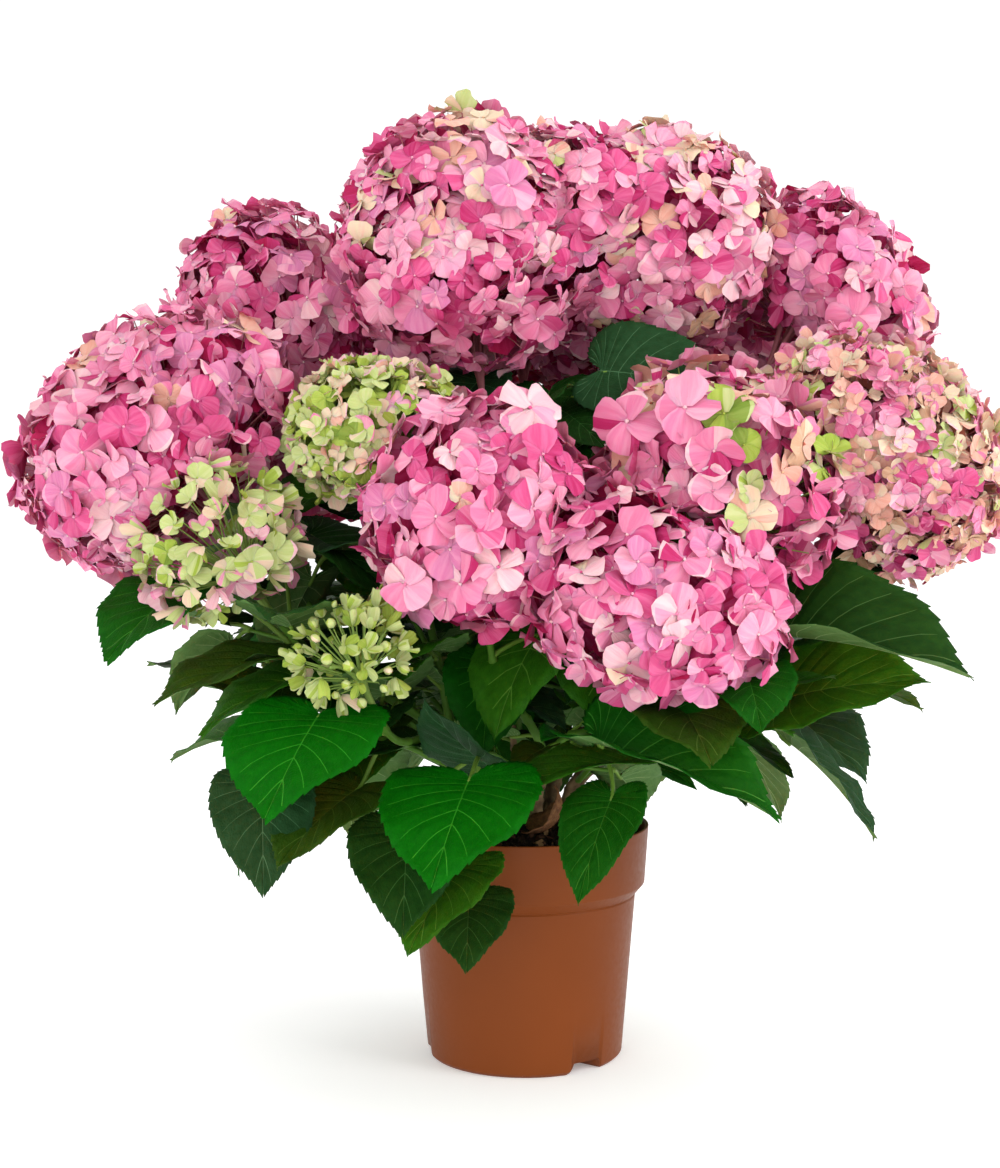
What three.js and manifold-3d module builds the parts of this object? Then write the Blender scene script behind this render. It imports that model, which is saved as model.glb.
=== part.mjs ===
// A potted mophead hydrangea: woody canes rise from one root ball in a nursery pot, fork into green
// shoots, and each shoot ends in a dome of four-petalled florets. Leafy twigs fill the space below.
// Millimetres, +Z up, origin at the middle of the pot's flat underside, -Y is the front.
import * as THREE from "three";
import { mergeVertices } from "three/addons/utils/BufferGeometryUtils.js";
import Module from "manifold-3d";

const wasm = await Module();
wasm.setup();

// ---------- Driving dimensions ----------
const CLEARANCE = 0.3; // air left between neighbouring pieces
const LEAST_AIR = 0.28; // what is still clear, after rounding
const SMOOTHING = 0.02; // how far a surface may move as needless points leave it
const POT = {
  height: 178,
  baseRadius: 75,
  bodyTopRadius: 85,
  rimRadius: 95,
  rimFootRadius: 92,
  rimHeight: 44,
  rimChamfer: 8,
  toeChamfer: 3,
  wall: 2.4,
  floor: 3,
  sides: 32,
};
const NOTCH = { azimuths: [38, 158, 278], mouth: 32, roof: 24, height: 9, innerRadius: 62 };
const DRAIN = { count: 6, radius: 4, reach: 44, sides: 8 };
const SOIL = { edgeHeight: 167, shoulderRadius: 74, shoulderHeight: 173, crownRadius: 52, crownHeight: 180 };

// Woody canes, each from the soil to its tip: azimuth and reach of the foot, then of the tip.
const CANE = { startRadius: 6.5, tipRadius: 4.2, sides: 7, rings: 5, rise: 45 };
const CANES = [
  { name: "cane_middle", foot: [10, 8], tip: [-60, 22], height: 300 },
  { name: "cane_front", foot: [12, 34], tip: [12, 80], height: 246 },
  { name: "cane_front_left", foot: [-42, 36], tip: [-40, 90], height: 254 },
  { name: "cane_left", foot: [-92, 33], tip: [-92, 92], height: 262 },
  { name: "cane_right", foot: [72, 33], tip: [75, 95], height: 262 },
  { name: "cane_back_left", foot: [-140, 33], tip: [-142, 95], height: 262 },
  { name: "cane_back_right", foot: [142, 33], tip: [140, 95], height: 262 },
];

// Shoots spring from a cane, and each ends in a bloom.
const SHOOT = {
  startRadius: 3.4,
  tipRadius: 2.5,
  sides: 5,
  rings: 5,
  leave: 60,
  rise: 0.4,
  arrive: 70,
  shares: [0.9, 0.75, 0.6, 0.45, 0.3], // places up the cane that it may spring from
};
const BOWS = [0, 0.6, -0.6, 1.2, -1.2]; // how far sideways a limb may bow out as it leaves
// Blooms, by the cane that bears their shoots. azimuth, reach and height place the middle of the
// dome, across and deep are its half sizes, and core is its dense heart's share of them.
const BLOOM = { core: 0.74, florets: 14, lean: 0.15, neck: 16, lowest: -0.5, colour: "pink" };
const HEADS = {
  cane_middle: [
    { name: "top_left", azimuth: -66, reach: 50, height: 616, across: 104, deep: 97, florets: 18 },
    { name: "top_right", azimuth: 100, reach: 102, height: 622, across: 94, deep: 88, florets: 17 },
  ],
  cane_left: [
    { name: "upper_left", azimuth: -109, reach: 206, height: 562, across: 85, deep: 92 },
    { name: "left", azimuth: -78, reach: 276, height: 470, across: 112, deep: 88, florets: 18 },
    { name: "back_side", azimuth: -112, reach: 268, height: 404, across: 70, deep: 58 },
  ],
  cane_right: [
    { name: "upper_right", azimuth: 105, reach: 242, height: 588, across: 92, deep: 70 },
    { name: "right", azimuth: 78, reach: 262, height: 462, across: 102, deep: 80, colour: "blush" },
    { name: "middle_right", azimuth: 50, reach: 184, height: 447, across: 92, deep: 76 },
  ],
  cane_front: [
    { name: "front_left", azimuth: -12, reach: 172, height: 424, across: 86, deep: 82 },
    { name: "front_right", azimuth: 24, reach: 205, height: 374, across: 98, deep: 68 },
  ],
  cane_front_left: [
    { name: "lime_left", azimuth: -43, reach: 160, height: 480, across: 62, deep: 50, colour: "lime" },
    { name: "young_left", azimuth: -58, reach: 254, height: 402, across: 60, deep: 54, colour: "lime", core: 0.4 },
    { name: "bud_left", azimuth: -31, reach: 232, height: 330, across: 38, deep: 32, colour: "lime", core: 0.25 },
  ],
  cane_back_left: [
    { name: "back_top", azimuth: 180, reach: 166, height: 600, across: 96, deep: 88 },
    { name: "back_left", azimuth: -140, reach: 262, height: 484, across: 94, deep: 80 },
  ],
  cane_back_right: [
    { name: "back_right", azimuth: 140, reach: 262, height: 486, across: 94, deep: 80 },
    { name: "back_low", azimuth: 180, reach: 262, height: 402, across: 80, deep: 64 },
  ],
};

// Leafy twigs, each springing from a cane to a tip of its own: azimuth, reach and height. The large
// outer leaves are placed one by one: azimuth, reach and height of the blade's foot, its heading,
// pitch and length, and for some its roll. A seeded rule adds opposite pairs of leaves up the twig.
const TWIG = {
  startRadius: 2.6,
  tipRadius: 1.7,
  sides: 4,
  rings: 4,
  leave: 35,
  rise: 0.2,
  arrive: 30,
  shares: [0.3, 0.45, 0.6, 0.2, 0.75],
  nodes: [0.5, 0.75, 1], // places up the twig that a leaf stalk may start from, each on a ring
};
const PETIOLE = { startRadius: 1.5, tipRadius: 1.5, sides: 3, rings: 2, rise: 0.5, sunk: 5 };
const LEAF = { width: 0.8, thickness: 0.02, curl: 38, fold: 14, roll: 0 };
const LEAF_SHIFTS = [0, -10, 10, -20, 20]; // how far a leaf may move down or up to keep clear
// Opposite pairs: the first spreads to both sides, the next one up and down, and so on in turn.
const PAIR = {
  first: 0.5, // where up the twig the first pair stands
  spread: 74,
  level: -12, // pitch of the leaves that spread sideways
  upper: 28,
  lower: -44,
  jitter: 9,
  length: 92,
  longer: 34,
  stalk: 26,
};
const TWIGS = [
  {
    name: "leaves_front",
    on: "cane_front",
    tip: [-14, 128, 250],
    placed: [
      [-12, 189, 244, -11, -4, 132],
      [-29, 172, 204, 0, -18, 100],
      [-17, 157, 178, -25, -11, 95],
      [-18, 132, 150, -1, -10, 80],
      [-10, 132, 241, -39, 56, 95],
    ],
  },
  {
    name: "leaves_front_left",
    on: "cane_front_left",
    tip: [-46, 168, 262],
    placed: [
      [-37, 234, 288, -12, -4, 132],
      [-56, 226, 232, 7, -32, 92],
      [-48, 160, 224, -33, -5, 105],
    ],
  },
  {
    name: "leaves_left",
    on: "cane_left",
    tip: [-62, 190, 322],
    placed: [
      [-67, 262, 369, -27, -7, 108],
      [-54, 205, 321, -52, 5, 115],
      [-57, 222, 326, 55, 24, 60],
      [-70, 196, 392, -30, 40, 80],
    ],
  },
  {
    name: "leaves_middle_left",
    on: "cane_front_left",
    tip: [-56, 138, 380],
    placed: [
      [-61, 180, 405, 58, -13, 120],
      [-56, 135, 400, -38, 19, 95],
    ],
  },
  {
    name: "leaves_front_middle",
    on: "cane_front",
    tip: [24, 124, 262],
    placed: [
      [22, 160, 226, -23, -24, 94],
      [31, 160, 268, -58, 13, 115],
    ],
  },
  {
    name: "leaves_front_right",
    on: "cane_right",
    tip: [30, 176, 272],
    placed: [
      [14, 190, 257, 59, 1, 140],
      [34, 180, 295, 8, 4, 120],
      [38, 238, 318, 2, -6, 78],
    ],
  },
  {
    name: "leaves_right",
    on: "cane_right",
    tip: [60, 180, 300],
    placed: [
      [53, 214, 345, 55, 10, 150],
      [58, 206, 285, 47, 28, 125],
      [73, 200, 251, 41, -15, 112],
    ],
  },
  {
    name: "leaves_right_high",
    on: "cane_right",
    tip: [88, 180, 350],
    placed: [[85, 216, 368, 60, 30, 125]],
    pairs: 1,
  },
  {
    name: "leaves_crown",
    on: "cane_middle",
    tip: [30, 40, 472],
    placed: [
      [42, 80, 512, 66, 4, 104, 52],
      [10, 62, 498, -22, -2, 84, 20],
      [24, 60, 494, 22, -4, 76, 20],
    ],
  },
  { name: "leaves_back_right_low", on: "cane_right", tip: [112, 190, 268], pairs: 3 },
  { name: "leaves_back_right", on: "cane_back_right", tip: [132, 196, 340], pairs: 2 },
  { name: "leaves_back_low", on: "cane_back_right", tip: [158, 186, 258], pairs: 3 },
  { name: "leaves_back", on: "cane_back_left", tip: [-172, 180, 330], pairs: 2 },
  { name: "leaves_back_left_low", on: "cane_back_left", tip: [-150, 176, 252], pairs: 2 },
  { name: "leaves_back_left", on: "cane_back_left", tip: [-128, 200, 338], pairs: 2 },
  { name: "leaves_left_low", on: "cane_left", tip: [-98, 176, 258], pairs: 2 },
];

// ---------- Helpers ----------
const radians = (degrees) => (degrees * Math.PI) / 180;
const UP = new THREE.Vector3(0, 0, 1);

// A horizontal direction: azimuth 0 is the front, 90 the right.
const towards = (azimuth) => new THREE.Vector3(Math.sin(radians(azimuth)), -Math.cos(radians(azimuth)), 0);
const place = (azimuth, reach, height) => towards(azimuth).multiplyScalar(reach).setZ(height);

// A closed geometry as a solid that can be joined and cut.
function solidOf(geometry) {
  const bare = geometry.clone();
  bare.deleteAttribute("normal");
  bare.deleteAttribute("uv");
  const merged = mergeVertices(bare, 1e-3);
  const corners = merged.index.array;
  const kept = [];
  for (let i = 0; i < corners.length; i += 3) {
    const [a, b, c] = corners.slice(i, i + 3);
    if (a !== b && b !== c && c !== a) kept.push(a, b, c);
  }
  const vertProperties = merged.attributes.position.array;
  return new wasm.Manifold(new wasm.Mesh({ numProp: 3, vertProperties, triVerts: new Uint32Array(kept) }));
}

// A solid back as a geometry for its mesh.
function geometryOf(solid) {
  const { vertProperties, triVerts } = solid.getMesh();
  const geometry = new THREE.BufferGeometry();
  geometry.setAttribute("position", new THREE.BufferAttribute(new Float32Array(vertProperties), 3));
  geometry.setIndex(new THREE.BufferAttribute(new Uint32Array(triVerts), 1));
  geometry.computeVertexNormals();
  return geometry;
}

const largestPiece = (solid) => solid.decompose().reduce((a, b) => (b.volume() > a.volume() ? b : a));

// Park and Miller's generator: the same seed always gives the same numbers.
function seeded(seed) {
  let state = seed;
  return () => {
    state = (state * 16807) % 2147483647;
    return state / 2147483647;
  };
}

function solidFromFaces(points, faces) {
  const geometry = new THREE.BufferGeometry();
  const numbers = points.flatMap((point) => point.toArray());
  geometry.setAttribute("position", new THREE.Float32BufferAttribute(numbers, 3));
  geometry.setIndex(faces.flat());
  return solidOf(geometry);
}

// ---------- Pot ----------
const innerRadiusAt = (height) => {
  const share = height / (POT.height - POT.rimHeight);
  return POT.baseRadius + (POT.bodyTopRadius - POT.baseRadius) * share - POT.wall;
};

function turned(profile) {
  const geometry = new THREE.LatheGeometry(profile.map(([r, z]) => new THREE.Vector2(r, z)), POT.sides);
  return solidOf(geometry.rotateX(Math.PI / 2));
}

// The three raised notches in the toe of the pot, each a tapered block; grow thickens it all round.
function notchBlocks(grow) {
  const below = -1;
  const outline = new THREE.Shape([
    new THREE.Vector2(-NOTCH.mouth / 2 - grow, below),
    new THREE.Vector2(NOTCH.mouth / 2 + grow, below),
    new THREE.Vector2(NOTCH.roof / 2 + grow, NOTCH.height + grow),
    new THREE.Vector2(-NOTCH.roof / 2 - grow, NOTCH.height + grow),
  ]);
  const depth = POT.baseRadius - NOTCH.innerRadius + 2 * POT.wall + grow;
  return NOTCH.azimuths
    .map((azimuth) => {
      const block = new THREE.ExtrudeGeometry(outline, { depth, bevelEnabled: false });
      block.rotateX(Math.PI / 2).translate(0, -(NOTCH.innerRadius - grow), 0);
      return solidOf(block.rotateZ(radians(azimuth)));
    })
    .reduce((a, b) => a.add(b));
}

function pot() {
  const rimFoot = POT.height - POT.rimHeight;
  const outside = turned([
    [0, 0],
    [POT.baseRadius - POT.toeChamfer, 0],
    [POT.baseRadius, POT.toeChamfer],
    [POT.bodyTopRadius, rimFoot - POT.rimChamfer],
    [POT.rimFootRadius, rimFoot],
    [POT.rimRadius, POT.height],
    [0, POT.height],
  ]);
  const inside = turned([
    [0, POT.floor],
    [innerRadiusAt(POT.floor), POT.floor],
    [POT.bodyTopRadius - POT.wall, rimFoot - POT.rimChamfer],
    [POT.rimFootRadius - POT.wall, rimFoot],
    [POT.rimRadius - POT.wall, POT.height],
    [POT.rimRadius - POT.wall, POT.height + 1],
    [0, POT.height + 1],
  ]);
  let shell = outside.subtract(inside.subtract(notchBlocks(POT.wall))).subtract(notchBlocks(0));
  for (let i = 0; i < DRAIN.count; i++) {
    const hole = new THREE.CylinderGeometry(DRAIN.radius, DRAIN.radius, 4 * POT.floor, DRAIN.sides);
    const spot = place((360 * (i + 0.5)) / DRAIN.count, DRAIN.reach, 0);
    shell = shell.subtract(solidOf(hole.rotateX(Math.PI / 2).translate(spot.x, spot.y, 0)));
  }
  return shell;
}

// ---------- Root ball ----------
function soil() {
  const gap = CLEARANCE;
  const rimFoot = POT.height - POT.rimHeight;
  const upRim = (SOIL.edgeHeight - rimFoot) / POT.rimHeight;
  const edgeRadius = POT.rimFootRadius + upRim * (POT.rimRadius - POT.rimFootRadius);
  const ball = turned([
    [0, POT.floor + gap],
    [innerRadiusAt(POT.floor) - gap, POT.floor + gap],
    [POT.bodyTopRadius - POT.wall - gap, rimFoot - POT.rimChamfer],
    [POT.rimFootRadius - POT.wall - gap, rimFoot + gap],
    [edgeRadius - POT.wall - gap, SOIL.edgeHeight],
    [SOIL.shoulderRadius, SOIL.shoulderHeight],
    [SOIL.crownRadius, SOIL.crownHeight],
    [0, SOIL.crownHeight],
  ]);
  return ball.subtract(notchBlocks(POT.wall + gap));
}

// ---------- Limbs ----------
// A cubic curve that leaves its start along one direction and reaches its end along another.
function curveBetween(start, leaving, leave, end, arriving, arrive) {
  return new THREE.CubicBezierCurve3(
    start,
    start.clone().addScaledVector(leaving, leave),
    end.clone().addScaledVector(arriving, -arrive),
    end,
  );
}

// Two directions square to the curve at t, one of them kept in the curve's own plane.
function crossAxes(curve, t) {
  const along = curve.getTangent(t);
  const chord = curve.v3.clone().sub(curve.v0);
  const plane = new THREE.Vector3().crossVectors(chord, UP);
  if (plane.length() < 1e-3 * chord.length()) plane.set(1, 0, 0);
  const first = plane.addScaledVector(along, -plane.dot(along)).normalize();
  return [first, new THREE.Vector3().crossVectors(along, first)];
}

// A round limb along the curve that tapers from one radius to the other, with flat ends.
function limb(curve, { startRadius, tipRadius, sides, rings }, grow = 0) {
  const points = [];
  const faces = [];
  for (let i = 0; i <= rings; i++) {
    const t = i / rings;
    const middle = curve.getPoint(t);
    const radius = startRadius + (tipRadius - startRadius) * t + grow;
    const [first, second] = crossAxes(curve, t);
    for (let j = 0; j < sides; j++) {
      const turn = (2 * Math.PI * j) / sides;
      const [x, y] = [radius * Math.cos(turn), radius * Math.sin(turn)];
      points.push(middle.clone().addScaledVector(first, x).addScaledVector(second, y));
    }
  }
  for (let i = 0; i < rings; i++) {
    for (let j = 0; j < sides; j++) {
      const a = i * sides + j;
      const b = i * sides + ((j + 1) % sides);
      faces.push([a, b, b + sides], [a, b + sides, a + sides]);
    }
  }
  for (let j = 1; j < sides - 1; j++) {
    faces.push([0, j + 1, j]);
    faces.push([rings * sides, rings * sides + j, rings * sides + j + 1]);
  }
  return solidFromFaces(points, faces);
}

// ---------- Blooms ----------
// The direction in which a dome faces: upwards, leaning out with its reach.
function facing({ azimuth, reach, lean }) {
  const angle = radians(reach * lean);
  return towards(azimuth).multiplyScalar(Math.sin(angle)).setZ(Math.cos(angle));
}

const BLOOMS = Object.entries(HEADS).flatMap(([on, heads]) =>
  heads.map((head) => ({ ...BLOOM, on, ...head })),
);
const middleOf = ({ azimuth, reach, height }) => place(azimuth, reach, height);
const GOLDEN_TURN = Math.PI * (3 - Math.sqrt(5));

// Places spread evenly over a dome by a golden-angle spiral, each with the way it faces.
function domeSpots(bloom) {
  const axis = facing(bloom);
  const first = towards(bloom.azimuth + 90);
  const second = new THREE.Vector3().crossVectors(axis, first);
  const carry = (x, y, z) =>
    new THREE.Vector3().addScaledVector(first, x).addScaledVector(second, y).addScaledVector(axis, z);
  const spots = [];
  for (let i = 0; i < bloom.florets; i++) {
    const level = 1 - ((i + 0.5) / bloom.florets) * (1 - bloom.lowest);
    const ring = Math.sqrt(1 - level * level);
    const turn = i * GOLDEN_TURN;
    const [x, y] = [ring * Math.cos(turn), ring * Math.sin(turn)];
    const at = carry(bloom.across * x, bloom.across * y, bloom.deep * level).add(middleOf(bloom));
    const outward = carry(x / bloom.across, y / bloom.across, level / bloom.deep).normalize();
    spots.push({ at, outward, turn });
  }
  return spots;
}

const FLORET = {
  share: 0.37, // petal reach as a share of the dome's half width
  notch: 0.62, // where two petals meet, as a share of their reach
  droop: 0.14,
  neck: 4, // depth of the funnel under the petals
  stalkRadius: 1.6,
  stalkRoot: 0.5, // where the stalk's root lies, as a share of the core
  sides: 3,
};
const CROWDING = [1, 0.8, 0.6]; // how far a floret may shrink to keep clear of its neighbours
const FLATTENING = 1; // air between two hearts that press together, more than the clearance on facets
const SINKING = 0.25; // how much of that shrinking it also sinks towards the middle

// One floret: a four-petalled star on a stalk whose root lies inside the dome's core. Where the
// heads crowd one another it is smaller and lies a little deeper.
function floret(bloom, spot, size) {
  const { outward, turn } = spot;
  const radius = size * FLORET.share * bloom.across;
  const at = spot.at.clone().lerp(middleOf(bloom), SINKING * (1 - size));
  const side = new THREE.Vector3().crossVectors(outward, UP).normalize().applyAxisAngle(outward, turn);
  const other = new THREE.Vector3().crossVectors(outward, side);
  const around = (middle, reach, angle) => {
    const [x, y] = [reach * Math.cos(angle), reach * Math.sin(angle)];
    return middle.clone().addScaledVector(side, x).addScaledVector(other, y);
  };
  const dropped = (drop) => at.clone().addScaledVector(outward, -drop);
  const points = [at.clone()];
  for (let k = 0; k < 4; k++) {
    points.push(around(dropped(radius * FLORET.droop), radius, (Math.PI * k) / 2));
    points.push(around(at, radius * FLORET.notch, (Math.PI * (k + 0.5)) / 2));
  }
  const root = at.clone().lerp(middleOf(bloom), 1 - FLORET.stalkRoot * bloom.core);
  for (const level of [dropped(FLORET.neck), root]) {
    for (let k = 0; k < FLORET.sides; k++) {
      points.push(around(level, FLORET.stalkRadius, (2 * Math.PI * k) / FLORET.sides));
    }
  }
  const [rim, collar, base] = [1, 9, 9 + FLORET.sides];
  const faces = [];
  // The underside joins the eight rim points to the three of the collar.
  const nearest = [0, 0, 1, 1, 1, 2, 2, 2];
  for (let k = 0; k < 8; k++) {
    const [a, b] = [rim + k, rim + ((k + 1) % 8)];
    const [p, q] = [collar + nearest[k], collar + nearest[(k + 1) % 8]];
    faces.push([0, a, b], [a, p, b]);
    if (p !== q) faces.push([b, p, q]);
  }
  for (let k = 0; k < FLORET.sides; k++) {
    const next = (k + 1) % FLORET.sides;
    faces.push([collar + k, base + k, base + next], [collar + k, base + next, collar + next]);
  }
  faces.push([base, base + 2, base + 1]);
  return solidFromFaces(points, faces);
}

// One closed bud of a young head: a bead at the end of a long stalk.
const BUD = { radius: 5.5, startRadius: 1.4, tipRadius: 1.2, sides: 3, rings: 1 };
function bud(bloom, { at, outward }, size) {
  const stalk = curveBetween(middleOf(bloom), outward, 1, at, outward, 1);
  const ball = new THREE.OctahedronGeometry(size * BUD.radius).translate(at.x, at.y, at.z);
  return limb(stalk, BUD).add(solidOf(ball));
}

// The dense heart of a dome, turned to face as the dome does.
function domeCore(bloom, grow = 0) {
  const [across, deep] = [bloom.core * bloom.across + grow, bloom.core * bloom.deep + grow];
  const ball = new THREE.IcosahedronGeometry(1, 1).scale(across, across, deep);
  ball.applyQuaternion(new THREE.Quaternion().setFromUnitVectors(UP, facing(bloom)));
  return solidOf(ball.translate(...middleOf(bloom)));
}

// ---------- Leaves ----------
// The blade's points along its rib, and its edge as pairs of a place along the rib and a half width.
const RIB_STATIONS = [0, 0.3, 0.65, 1];
const EDGE_STATIONS = [
  [-0.1, 0.22],
  [0.06, 0.44],
  [0.34, 0.5],
  [0.68, 0.3],
];

// Carries a point of the flat leaf (x along the rib, y across, z up) to its folded and curled place.
function bent(x, y, z, { length, curl, fold }) {
  const turn = radians(curl);
  const angle = turn * (x / length);
  const lifted = Math.abs(y) * Math.sin(radians(fold)) + z;
  const along = (length / turn) * Math.sin(angle) + lifted * Math.sin(angle);
  const up = -(length / turn) * (1 - Math.cos(angle)) + lifted * Math.cos(angle);
  return [along, y * Math.cos(radians(fold)), up];
}

// The blade's own directions: along its rib, across it, and out of its upper face.
function bladeAxes({ heading, pitch, roll }) {
  const along = towards(heading).multiplyScalar(Math.cos(radians(pitch))).setZ(Math.sin(radians(pitch)));
  const across = towards(heading + 90);
  across.applyAxisAngle(along, radians(roll));
  return [along, across, new THREE.Vector3().crossVectors(along, across)];
}

function blade(leaf) {
  const { foot, length, width } = leaf;
  const [along, across, out] = bladeAxes(leaf);
  const carry = (x, y, z) => {
    const [a, b, c] = bent(x, y, z, leaf);
    return foot.clone().addScaledVector(along, a).addScaledVector(across, b).addScaledVector(out, c);
  };
  const half = (LEAF.thickness * length) / 2;
  const points = RIB_STATIONS.slice(0, 3).flatMap((t) => [half, -half].map((z) => carry(t * length, 0, z)));
  const tip = points.push(carry(length, 0, 0)) - 1;
  const rib = (i, under) => (i === 3 ? tip : 2 * i + under);
  const edge = [-1, 1].map((side) =>
    EDGE_STATIONS.map(([t, w]) => points.push(carry(t * length, side * w * width * length, 0)) - 1),
  );
  const faces = [];
  edge.forEach((e, side) => {
    [0, 1].forEach((under) => {
      const strip = [[rib(0, under), e[0], e[1]]];
      for (let i = 0; i < 3; i++) {
        strip.push([rib(i, under), e[i + 1], rib(i + 1, under)]);
        if (i < 2) strip.push([rib(i + 1, under), e[i + 1], e[i + 2]]);
      }
      strip.forEach(([p, q, r]) => faces.push(side === under ? [p, q, r] : [p, r, q]));
    });
    faces.push(side === 0 ? [0, 1, e[0]] : [0, e[0], 1]);
  });
  return solidFromFaces(points, faces);
}

// The leaf stalk, from the nearest node of its twig to a little way under the blade.
function petiole(leaf, twigCurve) {
  const [along] = bladeAxes(leaf);
  const spots = TWIG.nodes.map((t) => twigCurve.getPoint(t));
  const start = spots.reduce((a, b) => (b.distanceTo(leaf.foot) < a.distanceTo(leaf.foot) ? b : a));
  const end = leaf.foot.clone().addScaledVector(along, PETIOLE.sunk);
  const third = end.distanceTo(start) / 3;
  const leaving = end.clone().sub(start).normalize().addScaledVector(UP, PETIOLE.rise).normalize();
  return limb(curveBetween(start, leaving, third, end, along, third), PETIOLE);
}

// The leaves of a twig that are placed one by one.
function placedLeaves(twig) {
  return (twig.placed || []).map(([azimuth, reach, height, heading, pitch, length, roll = 0]) => {
    return { ...LEAF, foot: place(azimuth, reach, height), heading, pitch, length, roll };
  });
}

// Opposite pairs of leaves up the twig, each pair crosswise to the one before.
function pairedLeaves(twig, curve, random) {
  const leaves = [];
  for (let pair = 0; pair < (twig.pairs || 0); pair++) {
    const node = curve.getPoint(PAIR.first + ((1 - PAIR.first) * pair) / Math.max(twig.pairs - 1, 1));
    for (const side of [-1, 1]) {
      const spreads = pair % 2 === 0;
      const upright = side > 0 ? PAIR.upper : PAIR.lower;
      const heading = twig.tip[0] + (spreads ? side * PAIR.spread : 0) + PAIR.jitter * (2 * random() - 1);
      const pitch = (spreads ? PAIR.level : upright) + PAIR.jitter * (2 * random() - 1);
      const leaf = { ...LEAF, heading, pitch, length: PAIR.length + PAIR.longer * random() };
      leaves.push({ ...leaf, foot: node.clone().addScaledVector(bladeAxes(leaf)[0], PAIR.stalk) });
    }
  }
  return leaves;
}

// ---------- The plant, piece by piece ----------
const MATERIALS = {
  pot: new THREE.MeshStandardMaterial({ color: 0xb0633f, roughness: 0.45 }),
  soil: new THREE.MeshStandardMaterial({ color: 0x2b1d15, roughness: 1 }),
  bark: new THREE.MeshStandardMaterial({ color: 0x7a6248, roughness: 0.9 }),
  shoot: new THREE.MeshStandardMaterial({ color: 0x6f8f3a, roughness: 0.6 }),
  leaf: new THREE.MeshStandardMaterial({ color: 0x1f6b22, roughness: 0.55 }),
  pink: new THREE.MeshStandardMaterial({ color: 0xe98ab0, roughness: 0.7 }),
  blush: new THREE.MeshStandardMaterial({ color: 0xe3b49a, roughness: 0.7 }),
  lime: new THREE.MeshStandardMaterial({ color: 0xbfd07a, roughness: 0.7 }),
};

const pieces = new Map(); // node name -> { solid, material }

// Whether a solid keeps its clearance from every piece but the one named.
const isClear = (solid, own) =>
  [...pieces].every(([name, piece]) => name === own || solid.minGap(piece.solid, 1) > LEAST_AIR);

function fuse(name, solid) {
  const piece = pieces.get(name);
  piece.solid = piece.solid.add(solid);
}

pieces.set("pot", { solid: pot(), material: "pot" });
pieces.set("soil", { solid: soil(), material: "soil" });

// Canes stand on the soil with a flat cut, a clearance above it.
const caneCurves = new Map();
const caneGrown = new Map();
for (const { name, foot, tip, height } of CANES) {
  const start = place(...foot, SOIL.crownHeight + CLEARANCE);
  const end = place(...tip, height);
  const curve = curveBetween(start, UP, CANE.rise, end, end.clone().sub(start).normalize(), CANE.rise);
  caneCurves.set(name, curve);
  caneGrown.set(name, limb(curve, CANE, CLEARANCE));
  pieces.set(name, { solid: limb(curve, CANE), material: "bark" });
}

// The hearts of the blooms, each with the short neck under it. Where two would meet, the later one
// is flattened against the earlier.
const heartsGrown = [];
const STEM = { startRadius: SHOOT.tipRadius, tipRadius: 2 * SHOOT.tipRadius, sides: 5, rings: 1 };
for (const bloom of BLOOMS) {
  const axis = facing(bloom);
  const start = middleOf(bloom).addScaledVector(axis, CLEARANCE - bloom.deep - bloom.neck);
  const stem = limb(curveBetween(start, axis, 1, middleOf(bloom), axis, 1), STEM);
  const heart = heartsGrown.reduce((left, earlier) => left.subtract(earlier), domeCore(bloom));
  heartsGrown.push(domeCore(bloom, FLATTENING));
  pieces.set("bloom_" + bloom.name, { solid: stem.add(heart), material: bloom.colour });
}

// A green limb from a cane to its own end, cut a clearance short of that cane. It springs from the
// first place, and bows the first way, in which it's clear of everything that already stands.
function spring(cane, end, arriving, sizes) {
  for (const share of sizes.shares) {
    for (const bow of BOWS) {
      const start = caneCurves.get(cane).getPoint(share);
      const ahead = end.clone().sub(start).normalize();
      const sideways = new THREE.Vector3().crossVectors(ahead, UP).normalize();
      const leaving = ahead.addScaledVector(sideways, bow).addScaledVector(UP, sizes.rise).normalize();
      const curve = curveBetween(start, leaving, sizes.leave, end, arriving, sizes.arrive);
      const solid = largestPiece(limb(curve, sizes).subtract(caneGrown.get(cane)));
      if (isClear(solid, cane)) return { curve, solid };
    }
  }
  throw new Error("no clear place on " + cane);
}

for (const bloom of BLOOMS) {
  const end = middleOf(bloom).addScaledVector(facing(bloom), -bloom.deep - bloom.neck);
  const { solid } = spring(bloom.on, end, facing(bloom), SHOOT);
  pieces.set("shoot_" + bloom.name, { solid, material: "shoot" });
}

// A leaf on its stalk, moved down or up a little where that keeps it clear, or skipped.
function addLeaf(name, leaf, curve) {
  for (const shift of LEAF_SHIFTS) {
    const moved = { ...leaf, foot: leaf.foot.clone().addScaledVector(UP, shift) };
    const solid = blade(moved).add(petiole(moved, curve));
    if (isClear(solid, name)) return fuse(name, solid);
  }
}

const twigCurves = new Map();
for (const twig of TWIGS) {
  const { curve, solid } = spring(twig.on, place(...twig.tip), towards(twig.tip[0]), TWIG);
  twigCurves.set(twig.name, curve);
  pieces.set(twig.name, { solid, material: "leaf" });
}
for (const twig of TWIGS) {
  placedLeaves(twig).forEach((leaf) => addLeaf(twig.name, leaf, twigCurves.get(twig.name)));
}

// Florets stand out of each core, and one that can't keep clear of its neighbours is skipped.
for (const bloom of BLOOMS) {
  const name = "bloom_" + bloom.name;
  const make = bloom.name === "bud_left" ? bud : floret;
  for (const spot of domeSpots(bloom)) {
    const one = CROWDING.map((size) => make(bloom, spot, size)).find((solid) => isClear(solid, name));
    if (one) fuse(name, one);
  }
}

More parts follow.
